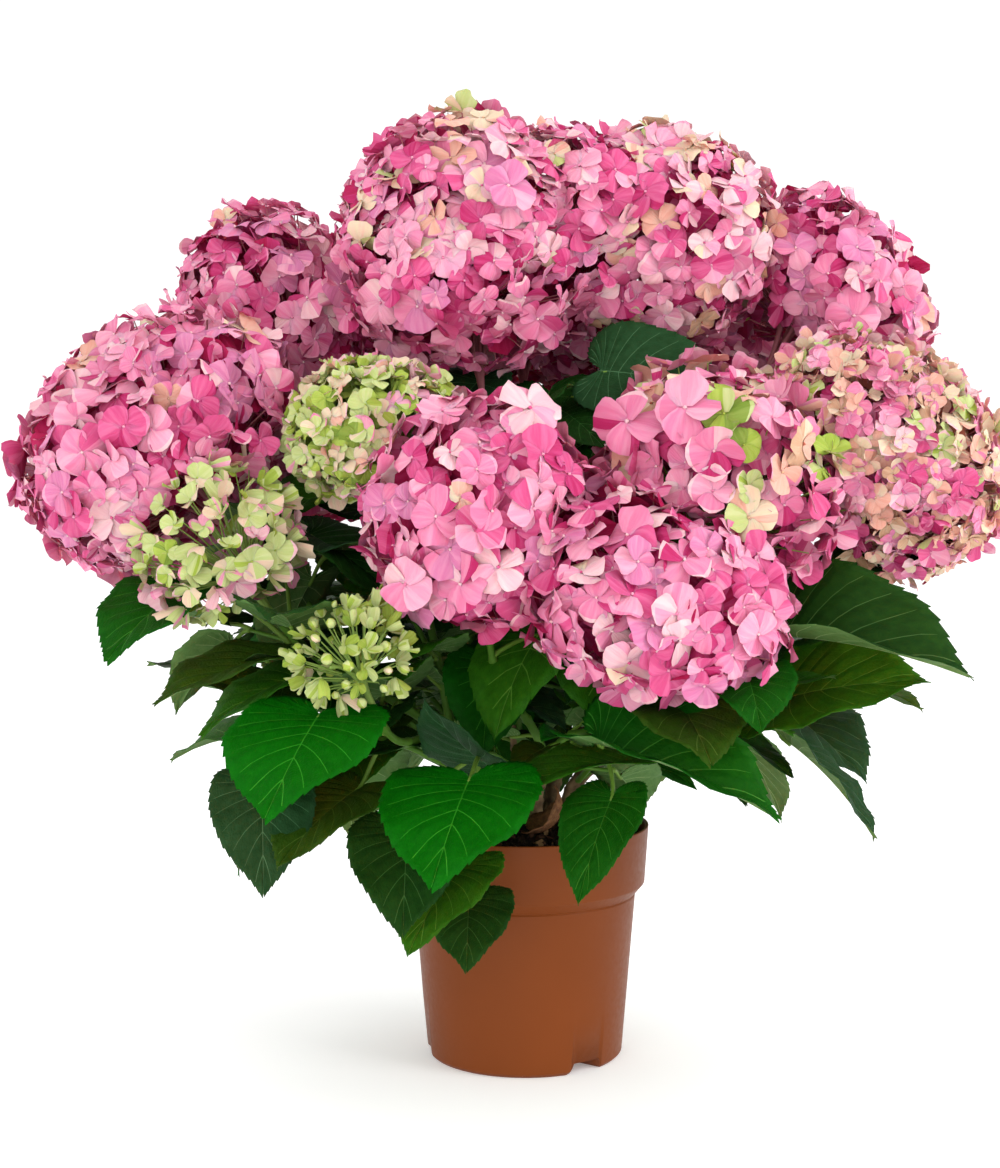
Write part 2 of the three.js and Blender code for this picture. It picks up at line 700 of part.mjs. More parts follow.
const SEED = 101;
TWIGS.forEach((twig, index) => {
  const curve = twigCurves.get(twig.name);
  const leaves = pairedLeaves(twig, curve, seeded(SEED * (index + 1)));
  leaves.forEach((leaf) => addLeaf(twig.name, leaf, curve));
});

const hydrangea = new THREE.Group();
for (const [name, { solid, material }] of pieces) {
  // Joins leave points in straight edges, and sealed pockets between leaves: both go.
  const whole = largestPiece(solid.asOriginal().simplify(SMOOTHING));
  const mesh = new THREE.Mesh(geometryOf(whole), MATERIALS[material]);
  mesh.name = name;
  hydrangea.add(mesh);
}

export default hydrangea;
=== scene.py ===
# %% [markdown]
# # A potted mophead hydrangea
#
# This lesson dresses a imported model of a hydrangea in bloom. The model holds the pot, the root
# ball, seven woody canes, the green shoots, the domes of the blooms and the masses of leaves. It
# is loaded as a fixed frame, and each part of it is then replaced by a finished surface that grows
# from the same points by the same rules: turned plastic, peat, bark, serrated leaves with their
# veins, and some four thousand four-petalled florets.
#
# Lengths are metres, +Z is up, the front is -Y, and the origin is under the middle of the pot.

import bmesh
import bpy
import numpy as np
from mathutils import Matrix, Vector


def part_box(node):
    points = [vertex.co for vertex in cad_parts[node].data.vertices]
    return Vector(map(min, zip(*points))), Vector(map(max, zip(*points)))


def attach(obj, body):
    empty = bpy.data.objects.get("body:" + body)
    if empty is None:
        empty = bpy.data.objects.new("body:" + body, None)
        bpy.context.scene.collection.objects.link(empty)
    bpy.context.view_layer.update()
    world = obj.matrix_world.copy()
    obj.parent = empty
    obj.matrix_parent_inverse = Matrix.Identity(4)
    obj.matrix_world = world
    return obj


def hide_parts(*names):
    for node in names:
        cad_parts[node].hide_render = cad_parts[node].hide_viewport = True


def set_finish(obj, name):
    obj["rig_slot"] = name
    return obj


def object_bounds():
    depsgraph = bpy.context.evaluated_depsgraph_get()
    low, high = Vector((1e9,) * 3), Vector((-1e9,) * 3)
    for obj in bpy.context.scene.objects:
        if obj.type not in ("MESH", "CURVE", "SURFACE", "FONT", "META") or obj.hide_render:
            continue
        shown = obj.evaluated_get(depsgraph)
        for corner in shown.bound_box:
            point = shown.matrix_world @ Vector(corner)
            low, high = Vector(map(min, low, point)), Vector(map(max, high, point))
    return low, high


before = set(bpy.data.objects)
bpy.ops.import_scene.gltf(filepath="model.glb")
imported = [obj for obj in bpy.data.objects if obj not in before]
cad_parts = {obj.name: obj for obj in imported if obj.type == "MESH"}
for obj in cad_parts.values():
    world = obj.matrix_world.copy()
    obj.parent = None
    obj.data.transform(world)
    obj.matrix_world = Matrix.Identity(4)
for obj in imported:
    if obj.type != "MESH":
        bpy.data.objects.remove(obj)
cad_box = [list(corner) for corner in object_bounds()]
print("the shrub's box:", np.round(cad_box, 3).tolist())

# %% [markdown]
# ## Directions and places
#
# A plant is easiest to describe from above: how far round (azimuth, 0 at the front and 90 to the
# right), how far out (reach) and how high. Two small functions turn that into points. Directions
# are kept as rows of arrays, so that a hundred leaves or florets are worked out in one go.

# %% Directions
UP = np.array([0.0, 0.0, 1.0])


def towards(azimuth):
    """The level direction (sin a, -cos a, 0) of an azimuth in degrees."""
    a = np.radians(azimuth)
    return np.stack([np.sin(a), -np.cos(a), np.zeros_like(a)], axis=-1)


def place(azimuth, reach, height):
    """The point at a reach along the azimuth's direction, lifted to the height."""
    return reach * towards(azimuth) + height * UP


def unit(vectors):
    """Each vector divided by its own length."""
    return vectors / np.linalg.norm(vectors, axis=-1, keepdims=True)


def turned_about(vectors, axis, angle):
    """Rodrigues' rule: v cos + (axis x v) sin + axis (axis . v)(1 - cos), the angle in radians."""
    c, s = np.cos(angle), np.sin(angle)
    share = np.asarray(vectors @ axis)[..., None]
    return vectors * c + np.cross(axis, vectors) * s + axis * share * (1 - c)


print("front:", towards(0.0).round(3), "right:", towards(90.0).round(3))

# %% [markdown]
# ## From arrays to a mesh
#
# Every surface below is an array of points and an array of faces. A face is a row of four corner
# numbers, and a triangle's fourth is -1. Filling the mesh with `foreach_set` hands whole arrays to
# Blender at once, which is what keeps half a million petal faces quick. A `Bundle` gathers many
# small shapes, such as the leaves of one twig, and shifts their corner numbers as they are joined.

# %% Mesh helpers
def grid_faces(rows, columns, wrapped=False):
    """Quads between neighbouring rows of a grid: corner (i, j) is number i * columns + j."""
    i, j = np.meshgrid(np.arange(rows - 1), np.arange(columns - (not wrapped)), indexing="ij")
    a = i * columns + j
    b = i * columns + (j + 1) % columns
    return np.stack([a, b, b + columns, a + columns], axis=-1).reshape(-1, 4)


class Bundle:
    """Shapes gathered for one joined mesh: points, faces, a finish number a face, and flat places."""

    def __init__(self):
        self.points, self.faces, self.slots, self.flats, self.count = [], [], [], [], 0

    def add(self, points, faces, slots=0, flats=None):
        points = points.reshape(-1, 3)
        self.points.append(points)
        self.faces.append(np.where(faces >= 0, faces + self.count, -1))
        self.slots.append(np.broadcast_to(slots, len(faces)))
        self.flats.append(np.zeros((len(points), 2)) if flats is None else flats.reshape(-1, 2))
        self.count += len(points)


def make_piece(name, bundle, finishes, slot, replaced=()):
    """One object at the origin from a bundle: its loops in face order, smooth, with its own UV map."""
    points, faces = np.concatenate(bundle.points), np.concatenate(bundle.faces)
    slots, flats = np.concatenate(bundle.slots), np.concatenate(bundle.flats)
    corners, sizes = faces[faces >= 0], (faces >= 0).sum(axis=1)
    starts = np.cumsum(sizes) - sizes
    mesh = bpy.data.meshes.new(name)
    mesh.vertices.add(len(points))
    mesh.vertices.foreach_set("co", points.astype(np.float32).ravel())
    mesh.loops.add(len(corners))
    mesh.loops.foreach_set("vertex_index", corners.astype(np.int32))
    mesh.polygons.add(len(faces))
    mesh.polygons.foreach_set("loop_start", starts.astype(np.int32))
    mesh.polygons.foreach_set("material_index", slots.astype(np.int32))
    mesh.polygons.foreach_set("use_smooth", np.ones(len(faces), dtype=bool))
    mesh.uv_layers.new(name="own").data.foreach_set("uv", flats[corners].astype(np.float32).ravel())
    mesh.update(calc_edges=True)
    mesh.validate()
    for finish in finishes:
        mesh.materials.append(finish)
    piece = bpy.data.objects.new(name, mesh)
    bpy.context.scene.collection.objects.link(piece)
    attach(piece, "root")
    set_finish(piece, slot)
    if replaced:
        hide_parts(*replaced)
    return piece


def node_points(node):
    """The corners of one of the frame's nodes, as an array."""
    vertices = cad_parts[node].data.vertices
    numbers = np.empty(3 * len(vertices), dtype=np.float32)
    vertices.foreach_get("co", numbers)
    return numbers.reshape(-1, 3).astype(float)


print("nodes in the frame:", len(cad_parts))

# %% [markdown]
# ## The camera, the floor and the light
#
# A plant on a white ground is lit from all around, so that nothing falls into black, with a large
# softbox high on the right to round the petals and the pot off. The camera stands 1.6 m away at the
# height of the leaves, and looks down a little: that shows the soil and the pot's full side.

# %% Camera
CAMERA = {"place": (-0.019, -1.6, 0.482), "down": 4.3, "lens": 64.9, "sensor": 36.0}

lens = bpy.data.cameras.new("camera")
lens.lens, lens.sensor_width = CAMERA["lens"], CAMERA["sensor"]
camera = bpy.data.objects.new("camera", lens)
camera.location = CAMERA["place"]
camera.rotation_euler = (np.radians(90 - CAMERA["down"]), 0, 0)
bpy.context.scene.collection.objects.link(camera)
bpy.context.scene.camera = camera
bpy.context.scene.view_settings.view_transform = "Standard"
height_seen = CAMERA["sensor"] * abs(CAMERA["place"][1]) / CAMERA["lens"]
print("the camera sees", round(height_seen, 2), "m of height at the pot")

# %% Light
SURROUND = 1.1
SOFTBOXES = {  # place, what it faces, side length, watts
    "key": ((2.1, -1.1, 1.5), (0, 0, 0.35), 1.3, 30.0),
    "front": ((-0.7, -2.3, 0.4), (0, 0, 0.5), 1.8, 28.0),
    "rim": ((-0.6, 2.0, 1.9), (0, 0, 0.4), 1.6, 12.0),
}

world = bpy.data.worlds.new("studio")
world.use_nodes = True
world.node_tree.nodes["Background"].inputs["Color"].default_value = (1, 1, 1, 1)
world.node_tree.nodes["Background"].inputs["Strength"].default_value = SURROUND
bpy.context.scene.world = world


def softbox(name, stands, faces, side, watts):
    """A square lamp whose -Z, the way it shines, points at what it faces."""
    lamp = bpy.data.lights.new(name, "AREA")
    lamp.shape, lamp.size, lamp.energy = "SQUARE", side, watts
    box = bpy.data.objects.new(name, lamp)
    box.location = stands
    aim = (np.array(faces) - np.array(stands)).tolist()
    box.rotation_mode = "QUATERNION"
    box.rotation_quaternion = Vector(aim).to_track_quat("-Z", "Y")
    bpy.context.scene.collection.objects.link(box)


for name, box in SOFTBOXES.items():
    softbox(name, *box)
print("softboxes:", ", ".join(SOFTBOXES))

# %% [markdown]
# ## Finishes
#
# Living surfaces are never one flat sheet: a leaf is pebbled between its veins, a petal is ribbed
# like crepe paper, peat is crumbly, bark is split. Each finish here is a Principled shader with
# its own colour set straight on the socket, while a noise moves its roughness a little and lifts a
# fine relief. The noise reads either the object's own coordinates or, where it has to follow a
# petal or a leaf, the piece's UV map. The light that comes through thin petals and blades is a
# little subsurface scattering.

# %% Finish maker
GLOW_DEPTH = 0.004  # how far light wanders inside a petal or a blade, in metres
GLOW_COLOURS = (1.0, 0.5, 0.4)  # the share of that way for red, green and blue light


def linear(code):
    """A screen colour's six digits in linear light: ((c + 0.055) / 1.055) ** 2.4, or c / 12.92."""
    c = np.array([int(code[i : i + 2], 16) for i in (0, 2, 4)]) / 255
    return (*np.where(c > 0.04045, ((c + 0.055) / 1.055) ** 2.4, c / 12.92).tolist(), 1.0)


def added(tree, kind, **settings):
    """A new node of the kind, with its named inputs set."""
    node = tree.nodes.new("ShaderNode" + kind)
    for socket, value in settings.items():
        node.inputs[socket.replace("_", " ")].default_value = value
    return node


def noise_on(tree, by, stretch, grain, detail):
    """The strength of a noise: coordinates, then a mapping that stretches them, then the noise."""
    where, mapping = added(tree, "TexCoord"), added(tree, "Mapping", Scale=stretch)
    noise = added(tree, "TexNoise", Scale=grain, Detail=detail)
    tree.links.new(where.outputs[by], mapping.inputs["Vector"])
    tree.links.new(mapping.outputs["Vector"], noise.inputs["Vector"])
    return noise.outputs["Fac"]


def finish(name, code, rough, grain, relief, stretch=(1, 1, 1), by="Object", shine=0.5, glow=0.0):
    """A Principled finish: noise of `grain` per metre (or per blade) drives roughness and a bump."""
    material = bpy.data.materials.new(name)
    material.use_nodes = True
    tree = material.node_tree
    shader = tree.nodes["Principled BSDF"]
    shader.inputs["Base Color"].default_value = linear(code)
    shader.inputs["Specular IOR Level"].default_value = shine
    if glow:
        shader.inputs["Subsurface Weight"].default_value = glow
        shader.inputs["Subsurface Radius"].default_value = GLOW_COLOURS
        shader.inputs["Subsurface Scale"].default_value = GLOW_DEPTH
    noise = noise_on(tree, by, stretch, grain, detail=3.0)
    spread = added(tree, "MapRange", From_Min=0.3, From_Max=0.7, To_Min=rough[0], To_Max=rough[1])
    bump = added(tree, "Bump", Distance=relief)
    tree.links.new(noise, spread.inputs["Value"])
    tree.links.new(spread.outputs["Result"], shader.inputs["Roughness"])
    tree.links.new(noise, bump.inputs["Height"])
    tree.links.new(bump.outputs["Normal"], shader.inputs["Normal"])
    return material


def marbled(material, first, second, grain, sharp=0.25, by="Object", stretch=(1, 1, 1), middle=0.5):
    """Mixes two close colours by a second noise, cut to a soft step of half width `sharp`."""
    tree = material.node_tree
    ramp = added(tree, "ValToRGB")
    low, high = ramp.color_ramp.elements
    low.position, high.position = middle - sharp, middle + sharp
    low.color, high.color = linear(first), linear(second)
    tree.links.new(noise_on(tree, by, stretch, grain, detail=4.0), ramp.inputs["Fac"])
    tree.links.new(ramp.outputs["Color"], tree.nodes["Principled BSDF"].inputs["Base Color"])
    return material


print("finish maker ready")

# %% [markdown]
# ## The pot
#
# A nursery pot is one thin skin of injection-moulded plastic: a body that widens slightly, a fine
# groove and a step out under a broad rim, a rolled lip, and three raised notches in the toe that
# let water run out. It could be spun with a Screw modifier, but a turned surface is only its
# profile carried round in rings, so one array does it, and the notches come in the same formula: a
# point of the foot that lies on a notch's azimuth is lifted to the notch's roof.

# %% Turned surfaces
POT = {"height": 0.178, "base": 0.075, "body_top": 0.085, "rim": 0.095, "rim_foot": 0.092}
POT |= {"rim_height": 0.044, "step": 0.008, "toe": 0.003, "wall": 0.0024, "floor": 0.003}
NOTCH = {"azimuths": (38, 158, 278), "mouth": 0.032, "roof": 0.024, "height": 0.009, "inner": 0.062}
GROOVE = ((0.0001, 0.0017), (0.001, 0.0008))  # its corners: how deep, and how far below the step
AROUND = 288  # points round a turned surface
POLE = 1e-4  # the radius of the tiny ring in the middle of a floor, welded shut afterwards
SOFTNESS = 0.0008  # the radius of the pot's rounded edges
TALLEST_ROW = 0.008  # a straight side longer than this is cut in three


def rounded(corners, radius, steps=4):
    """A profile whose inner corners are Bezier arcs of about the radius between the straight sides."""
    corners = np.array(corners, dtype=float)
    before, at, after = corners[:-2], corners[1:-1], corners[2:]
    shortest = np.minimum(*(np.linalg.norm(side - at, axis=1) for side in (before, after)))
    reach = np.minimum(shortest * 0.45, radius)[:, None]
    start, end = at + unit(before - at) * reach, at + unit(after - at) * reach
    t = np.linspace(0, 1, steps)[None, :, None]
    arcs = (1 - t) ** 2 * start[:, None] + 2 * t * (1 - t) * at[:, None] + t**2 * end[:, None]
    return np.concatenate([corners[:1], arcs.reshape(-1, 2), corners[-1:]])


def notch_lift(angle, radius, wall):
    """How high the notches raise a foot point: their trapezoid's height at the arc from its middle."""
    middles = np.radians(np.array(NOTCH["azimuths"]))[:, None, None]
    off = np.abs((angle - middles + np.pi) % (2 * np.pi) - np.pi) * radius
    slope = NOTCH["height"] / ((NOTCH["mouth"] - NOTCH["roof"]) / 2)
    lift = np.clip((NOTCH["mouth"] / 2 + wall - off) * slope, 0, NOTCH["height"] + wall).max(axis=0)
    return np.where(radius > NOTCH["inner"] - wall, lift, 0.0)


def turned(profile, wall, sides=AROUND):
    """Profile rows of (radius, height) carried round the Z axis, with the foot lifted at the notches."""
    angle = np.arange(sides) * 2 * np.pi / sides
    radius, height = np.broadcast_arrays(profile[:, :1], profile[:, 1:] + 0 * angle)
    height = np.maximum(height, notch_lift(angle + 0 * radius, radius, wall))
    x, y = radius * np.sin(angle), -radius * np.cos(angle)
    return np.stack([x, y, height], axis=-1), grid_faces(len(profile), sides, wrapped=True)


def face_outwards(piece):
    """Welds the poles' doubled points and turns every face of a closed piece outwards."""
    shape = bmesh.new()
    shape.from_mesh(piece.data)
    bmesh.ops.remove_doubles(shape, verts=shape.verts, dist=1e-6)
    bmesh.ops.recalc_face_normals(shape, faces=shape.faces)
    shape.to_mesh(piece.data)
    shape.free()


def pot_profile():
    """Up the outside, over the lip and down the inside, from the middle of one floor to the other."""
    p, w = POT, POT["wall"]
    foot = p["height"] - p["rim_height"]
    step = (p["body_top"], foot - p["step"])
    above = [step, (p["rim_foot"], foot), (p["rim"], p["height"])]
    groove = [(step[0] - deep, step[1] - down) for deep, down in GROOVE]
    outside = [(POLE, 0), (p["base"] - p["toe"], 0), (p["base"], p["toe"]), *groove, *above]
    inside = [(r - w, z) for r, z in reversed(above)]
    return outside + inside + [(p["base"] - w, p["floor"]), (POLE, p["floor"])]


def cut_long(profile):
    """The profile with two more points, at thirds, in each straight side that is too long."""
    thirds = np.linspace(0, 1, 4)[1:-1, None]
    rows = []
    for a, b in zip(profile[:-1], profile[1:]):
        rows.append(np.vstack([a, a + (b - a) * thirds]) if np.hypot(*(b - a)) > TALLEST_ROW else a[None])
    return np.vstack([*rows, profile[-1:]])


profile = cut_long(rounded(pot_profile(), SOFTNESS))
print("pot profile points:", len(profile), "lip at", POT["height"], "m")

# %% The pot piece
DRAIN = {"count": 6, "radius": 0.004, "reach": 0.044, "rod": 0.01}

plastic = finish("moulded_terracotta_plastic", "743810", (0.38, 0.5), 260, 0.00005, shine=0.15)
marbled(plastic, "6f350e", "783a12", 9.0)


def drilled(piece):
    """Cuts the drain holes: one joined mesh of short rods taken away by an exact Boolean."""
    drills = Bundle()
    turn = np.linspace(0, 2 * np.pi, 25)[:-1]
    circle = DRAIN["radius"] * np.stack([np.cos(turn), np.sin(turn), 0 * turn], axis=-1)
    up = DRAIN["rod"] * UP
    rings = ((0 * circle, -up), (circle, -up), (circle, up), (0 * circle, up))
    for number in range(DRAIN["count"]):
        middle = place(360 * (number + 0.5) / DRAIN["count"], DRAIN["reach"], 0.0)
        rows = np.stack([ring + middle + way for ring, way in rings])
        drills.add(rows, grid_faces(len(rows), len(turn), wrapped=True))
    rods = make_piece("drills", drills, [], "pot_plastic")
    face_outwards(rods)
    cut = piece.modifiers.new("drain", "BOOLEAN")
    cut.operation, cut.object, cut.solver = "DIFFERENCE", rods, "EXACT"
    shown = piece.evaluated_get(bpy.context.evaluated_depsgraph_get())
    piece.data = bpy.data.meshes.new_from_object(shown)
    piece.modifiers.clear()
    bpy.data.objects.remove(rods)


shell = Bundle()
shell.add(*turned(profile, 0.0))
pot = make_piece("pot_shell", shell, [plastic], "pot_plastic", ["pot"])
face_outwards(pot)
drilled(pot)
print("pot faces:", len(pot.data.polygons))

# %% [markdown]
# ## The root ball
#
# Potting compost is dark, damp and crumbly: fibres and small chips of bark lie on a rough bed. The
# bed is another turned surface, pressed up to the wall of the pot, whose top is roughened by a sum
# of waves that only lowers it, so that the canes still stand on it. The chips are scattered as
# small squashed boxes, each with its corners pushed about, joined into one piece.

# %% The root ball
SOIL = {"edge": 0.167, "shoulder": (0.074, 0.173), "crown": (0.052, 0.18), "gap": 0.0004}
SOIL |= {"rings": 64, "rough": 0.006, "lumps": 0.022, "crumbs": 0.007}
rng = np.random.default_rng(7)


def ripples(x, y, pitch, count=14):
    """A sum of `count` level waves of random heading and about the given pitch, between -1 and 1."""
    heading, phase = rng.uniform(0, 2 * np.pi, (2, count))
    pace = 2 * np.pi / pitch * rng.uniform(0.6, 1.7, count)
    waves = np.sin((x[..., None] * np.cos(heading) + y[..., None] * np.sin(heading)) * pace + phase)
    return waves.mean(axis=-1) * np.sqrt(count) / 2


peat = finish("damp_peat", "20140d", (0.8, 1.0), 900, 0.0009, shine=0.2)
marbled(peat, "140c08", "33221a", 160, 0.12)
gap, foot = SOIL["gap"], POT["height"] - POT["rim_height"]
up_rim = (SOIL["edge"] - foot) / POT["rim_height"]
edge = POT["rim_foot"] + up_rim * (POT["rim"] - POT["rim_foot"]) - POT["wall"] - gap
side = [
    (POLE, POT["floor"] + gap), (POT["base"] - POT["wall"] - 2 * gap, POT["floor"] + gap),
    (POT["body_top"] - POT["wall"] - gap, foot - POT["step"]),
    (POT["rim_foot"] - POT["wall"] - gap, foot + gap), (edge, SOIL["edge"]),
]
over = np.linspace(edge - 0.0015, POLE, SOIL["rings"])
(crown_reach, crown_top), (shoulder_reach, shoulder_top) = SOIL["crown"], SOIL["shoulder"]
tops = [crown_top, crown_top, shoulder_top, SOIL["edge"]]
tops = np.interp(over, [0, crown_reach, shoulder_reach, edge], tops)
points, faces = turned(np.vstack([side, np.stack([over, tops], axis=-1)]), POT["wall"] + gap)
top = points[len(side) :]
x, y = top[..., 0], top[..., 1]
dip = 0.5 + 0.25 * ripples(x, y, SOIL["lumps"]) + 0.25 * ripples(x, y, SOIL["crumbs"])
top[..., 2] -= SOIL["rough"] * np.clip(dip, 0, 1)
bed = Bundle()
bed.add(points, faces)
soil = make_piece("peat_bed", bed, [peat], "compost", ["soil"])
face_outwards(soil)
print("peat bed: top between", top[..., 2].min().round(4), "and", top[..., 2].max().round(4))

# %% Chips of bark and fibre
CHIPS = 900
SPREAD = 0.088  # how far out from the middle of the pot they lie
CHIP_BED = ([0, 0.052, 0.074, 0.0925], [0.178, 0.178, 0.171, 0.165])  # reach, and their height there
CHIP_SHARES = {  # colour, roughness, relief and share of each kind
    "chip_dark": ("1d120c", (0.8, 1.0), 0.0004, 0.55),
    "chip_brown": ("43291a", (0.75, 0.95), 0.0004, 0.37),
    "fibre_pale": ("7a5c3e", (0.7, 0.9), 0.0003, 0.08),
}
BOX = np.array([(i, j, k) for i in (-1, 1) for j in (-1, 1) for k in (-1, 1)], dtype=float)
BOX_FACES = [(0, 1, 3, 2), (4, 6, 7, 5), (0, 4, 5, 1), (2, 3, 7, 6), (0, 2, 6, 4), (1, 5, 7, 3)]

chip_finishes = [
    finish(name, code, rough, 700, relief, shine=0.2)
    for name, (code, rough, relief, _) in CHIP_SHARES.items()
]
azimuth, reach = rng.uniform(0, 360, CHIPS), SPREAD * np.sqrt(rng.uniform(0, 1, CHIPS))
spots = reach[:, None] * towards(azimuth)
spots[:, 2] = np.interp(reach, *CHIP_BED)
sizes = rng.uniform(0.0008, 0.0032, (CHIPS, 1)) * rng.uniform(0.35, 1.3, (CHIPS, 3))
long = unit(rng.normal(size=(CHIPS, 3)) * (1, 1, 0.4))
flat = unit(np.cross(long, rng.normal(size=(CHIPS, 3))))
axes = np.stack([long * 1.5, flat, np.cross(long, flat)], axis=1)
corners = BOX[None] * sizes[:, None] * rng.uniform(0.6, 1.2, (CHIPS, 8, 3))
chips = Bundle()
chips.add(
    np.einsum("nci,nij->ncj", corners, axes) + spots[:, None],
    (np.array(BOX_FACES) + len(BOX) * np.arange(CHIPS)[:, None, None]).reshape(-1, 4),
    np.repeat(rng.choice(3, CHIPS, p=[row[-1] for row in CHIP_SHARES.values()]), len(BOX_FACES)),
)
crumbs = make_piece("compost_crumbs", chips, chip_finishes, "compost", ["soil"])
crumbs.data.polygons.foreach_set("use_smooth", np.zeros(len(crumbs.data.polygons), dtype=bool))
print("chips:", CHIPS)

# %% [markdown]
# ## Limbs
#
# Canes, shoots, twigs, leaf stalks and flower stalks are all the same form: rings of points
# carried along a cubic curve that leaves its start in one direction and reaches its end in
# another. The canes carry a bark that has split into long ridges, made by letting the radius
# wander slowly round the ring and quickly along it. The green shoots are smooth, and swell a
# little at each node, where a pair of leaves stood.

# %% Curves and tubes
def bezier(start, leaving, leave, end, arriving, arrive, t):
    """(1-t)^3 a + 3 t (1-t)^2 b + 3 t^2 (1-t) c + t^3 d, with b and c along the two directions."""
    b, c = start + leaving * leave, end - arriving * arrive
    t = np.asarray(t)[..., None]
    return (1 - t) ** 3 * start + 3 * t * (1 - t) ** 2 * b + 3 * t**2 * (1 - t) * c + t**3 * end


def cross_axes(path):
    """Two directions square to the path at each point, the first square to the path's own plane."""
    along = unit(np.gradient(path, axis=0))
    chord = path[-1] - path[0]
    plane = np.cross(chord, UP)
    if np.linalg.norm(plane) < 1e-3 * np.linalg.norm(chord):
        plane = np.array([1.0, 0.0, 0.0])
    first = unit(plane - along * (along @ plane)[:, None])
    return first, np.cross(along, first)


def tube(path, radii, sides):
    """Rings round a path: point + r (first cos a + second sin a), with both ends closed to a point.

    radii holds one number, one a ring, or one a point. Returns points, faces and flat places.
    """
    first, second = cross_axes(path)
    angle = np.arange(sides) * 2 * np.pi / sides
    radii = np.asarray(radii)
    if radii.ndim < 2:
        radii = np.broadcast_to(radii, len(path))[:, None]
    radii = np.broadcast_to(radii, (len(path), sides))[..., None]
    round_it = np.cos(angle)[:, None] * first[:, None] + np.sin(angle)[:, None] * second[:, None]
    rings = path[:, None] + radii * round_it
    points = np.vstack([rings.reshape(-1, 3), path[:1], path[-1:]])
    j = np.arange(sides)
    k = (j + 1) % sides
    last = (len(path) - 1) * sides
    none = np.full(sides, -1)
    start_cap = np.stack([np.full(sides, len(points) - 2), k, j, none], axis=-1)
    end_cap = np.stack([np.full(sides, len(points) - 1), last + j, last + k, none], axis=-1)
    u, v = np.meshgrid(angle / (2 * np.pi), np.linspace(0, 1, len(path)))
    flats = np.vstack([np.stack([u, v], axis=-1).reshape(-1, 2), [[0, 0], [0, 1]]])
    return points, np.vstack([grid_faces(len(path), sides, wrapped=True), start_cap, end_cap]), flats


print("a 5 mm tube has", len(tube(np.linspace([0, 0, 0], [0, 0, 0.1], 9), 0.0025, 8)[1]), "faces")

# %% The woody canes
CANE = {"start": 0.0065, "tip": 0.0042, "rise": 0.045, "foot": 0.1803}
CANES = {  # azimuth and reach of the foot, of the tip, and the tip's height
    "cane_middle": (10, 0.008, -60, 0.022, 0.3),
    "cane_front": (12, 0.034, 12, 0.08, 0.246),
    "cane_front_left": (-42, 0.036, -40, 0.09, 0.254),
    "cane_left": (-92, 0.033, -92, 0.092, 0.262),
    "cane_right": (72, 0.033, 75, 0.095, 0.262),
    "cane_back_left": (-140, 0.033, -142, 0.095, 0.262),
    "cane_back_right": (142, 0.033, 140, 0.095, 0.262),
}
BARK = {"rings": 90, "sides": 28, "ridges": 6, "depth": 0.09, "drift": 0.35, "grain": 0.02}
KNOTS = {"at": (0.22, 0.47, 0.72, 0.95), "half": 0.018, "swell": 0.14}

bark = finish("split_bark", "6b543c", (0.75, 0.95), 600, 0.0005, stretch=(1, 1, 0.25), shine=0.25)
marbled(bark, "4a3826", "8a7152", 130, 0.2)


def cane_path(cane, t):
    """The cane's curve: straight up out of the soil, then on towards its tip."""
    foot_azimuth, foot_reach, tip_azimuth, tip_reach, height = CANES[cane]
    start, end = place(foot_azimuth, foot_reach, CANE["foot"]), place(tip_azimuth, tip_reach, height)
    return bezier(start, UP, CANE["rise"], end, unit(end - start), CANE["rise"], t)


def bark_radii(t, sides):
    """Taper times (1 + ridges): waves round the stem whose phase drifts along it, plus small knots."""
    angle = np.arange(sides) * 2 * np.pi / sides
    drift = np.cumsum(rng.normal(0, BARK["drift"], len(t)))[:, None] + rng.uniform(0, 6)
    coarse, fine = BARK["ridges"] * angle + drift, 2 * BARK["ridges"] * angle - 1.7 * drift
    ridges = BARK["depth"] * 0.5 * (np.sin(coarse) + 0.6 * np.sin(fine))
    knots = sum(np.exp(-(((t - at) / KNOTS["half"]) ** 2)) for at in KNOTS["at"])
    taper = CANE["start"] + (CANE["tip"] - CANE["start"]) * t
    grain = BARK["grain"] * rng.normal(size=(len(t), sides))
    return taper[:, None] * (0.93 + ridges + grain + KNOTS["swell"] * knots[:, None])


def make_limb(name, path, radii, sides, surface, slot, node):
    """One limb as a piece: a tube along the path that stands for the node."""
    limb = Bundle()
    limb.add(*tube(path, radii, sides)[:2])
    make_piece(name, limb, [surface], slot, [node])


for cane in CANES:
    t = np.linspace(0, 1, BARK["rings"])
    name = cane.replace("cane", "barked_cane")
    make_limb(name, cane_path(cane, t), bark_radii(t, BARK["sides"]), BARK["sides"], bark, "bark", cane)
print("canes:", len(CANES))

# %% [markdown]
# ## The domes and their shoots
#
# Each bloom is a dome that faces up and leans out with its reach. A green shoot springs from a
# cane, bows to one side if it has to, and arrives at the dome's neck along the way the dome faces.
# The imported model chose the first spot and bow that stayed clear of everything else. The same
# candidates are worked out here, and the one whose rings lie on the node's own corners is the one
# that was built, so nothing has to be copied from the model by hand.

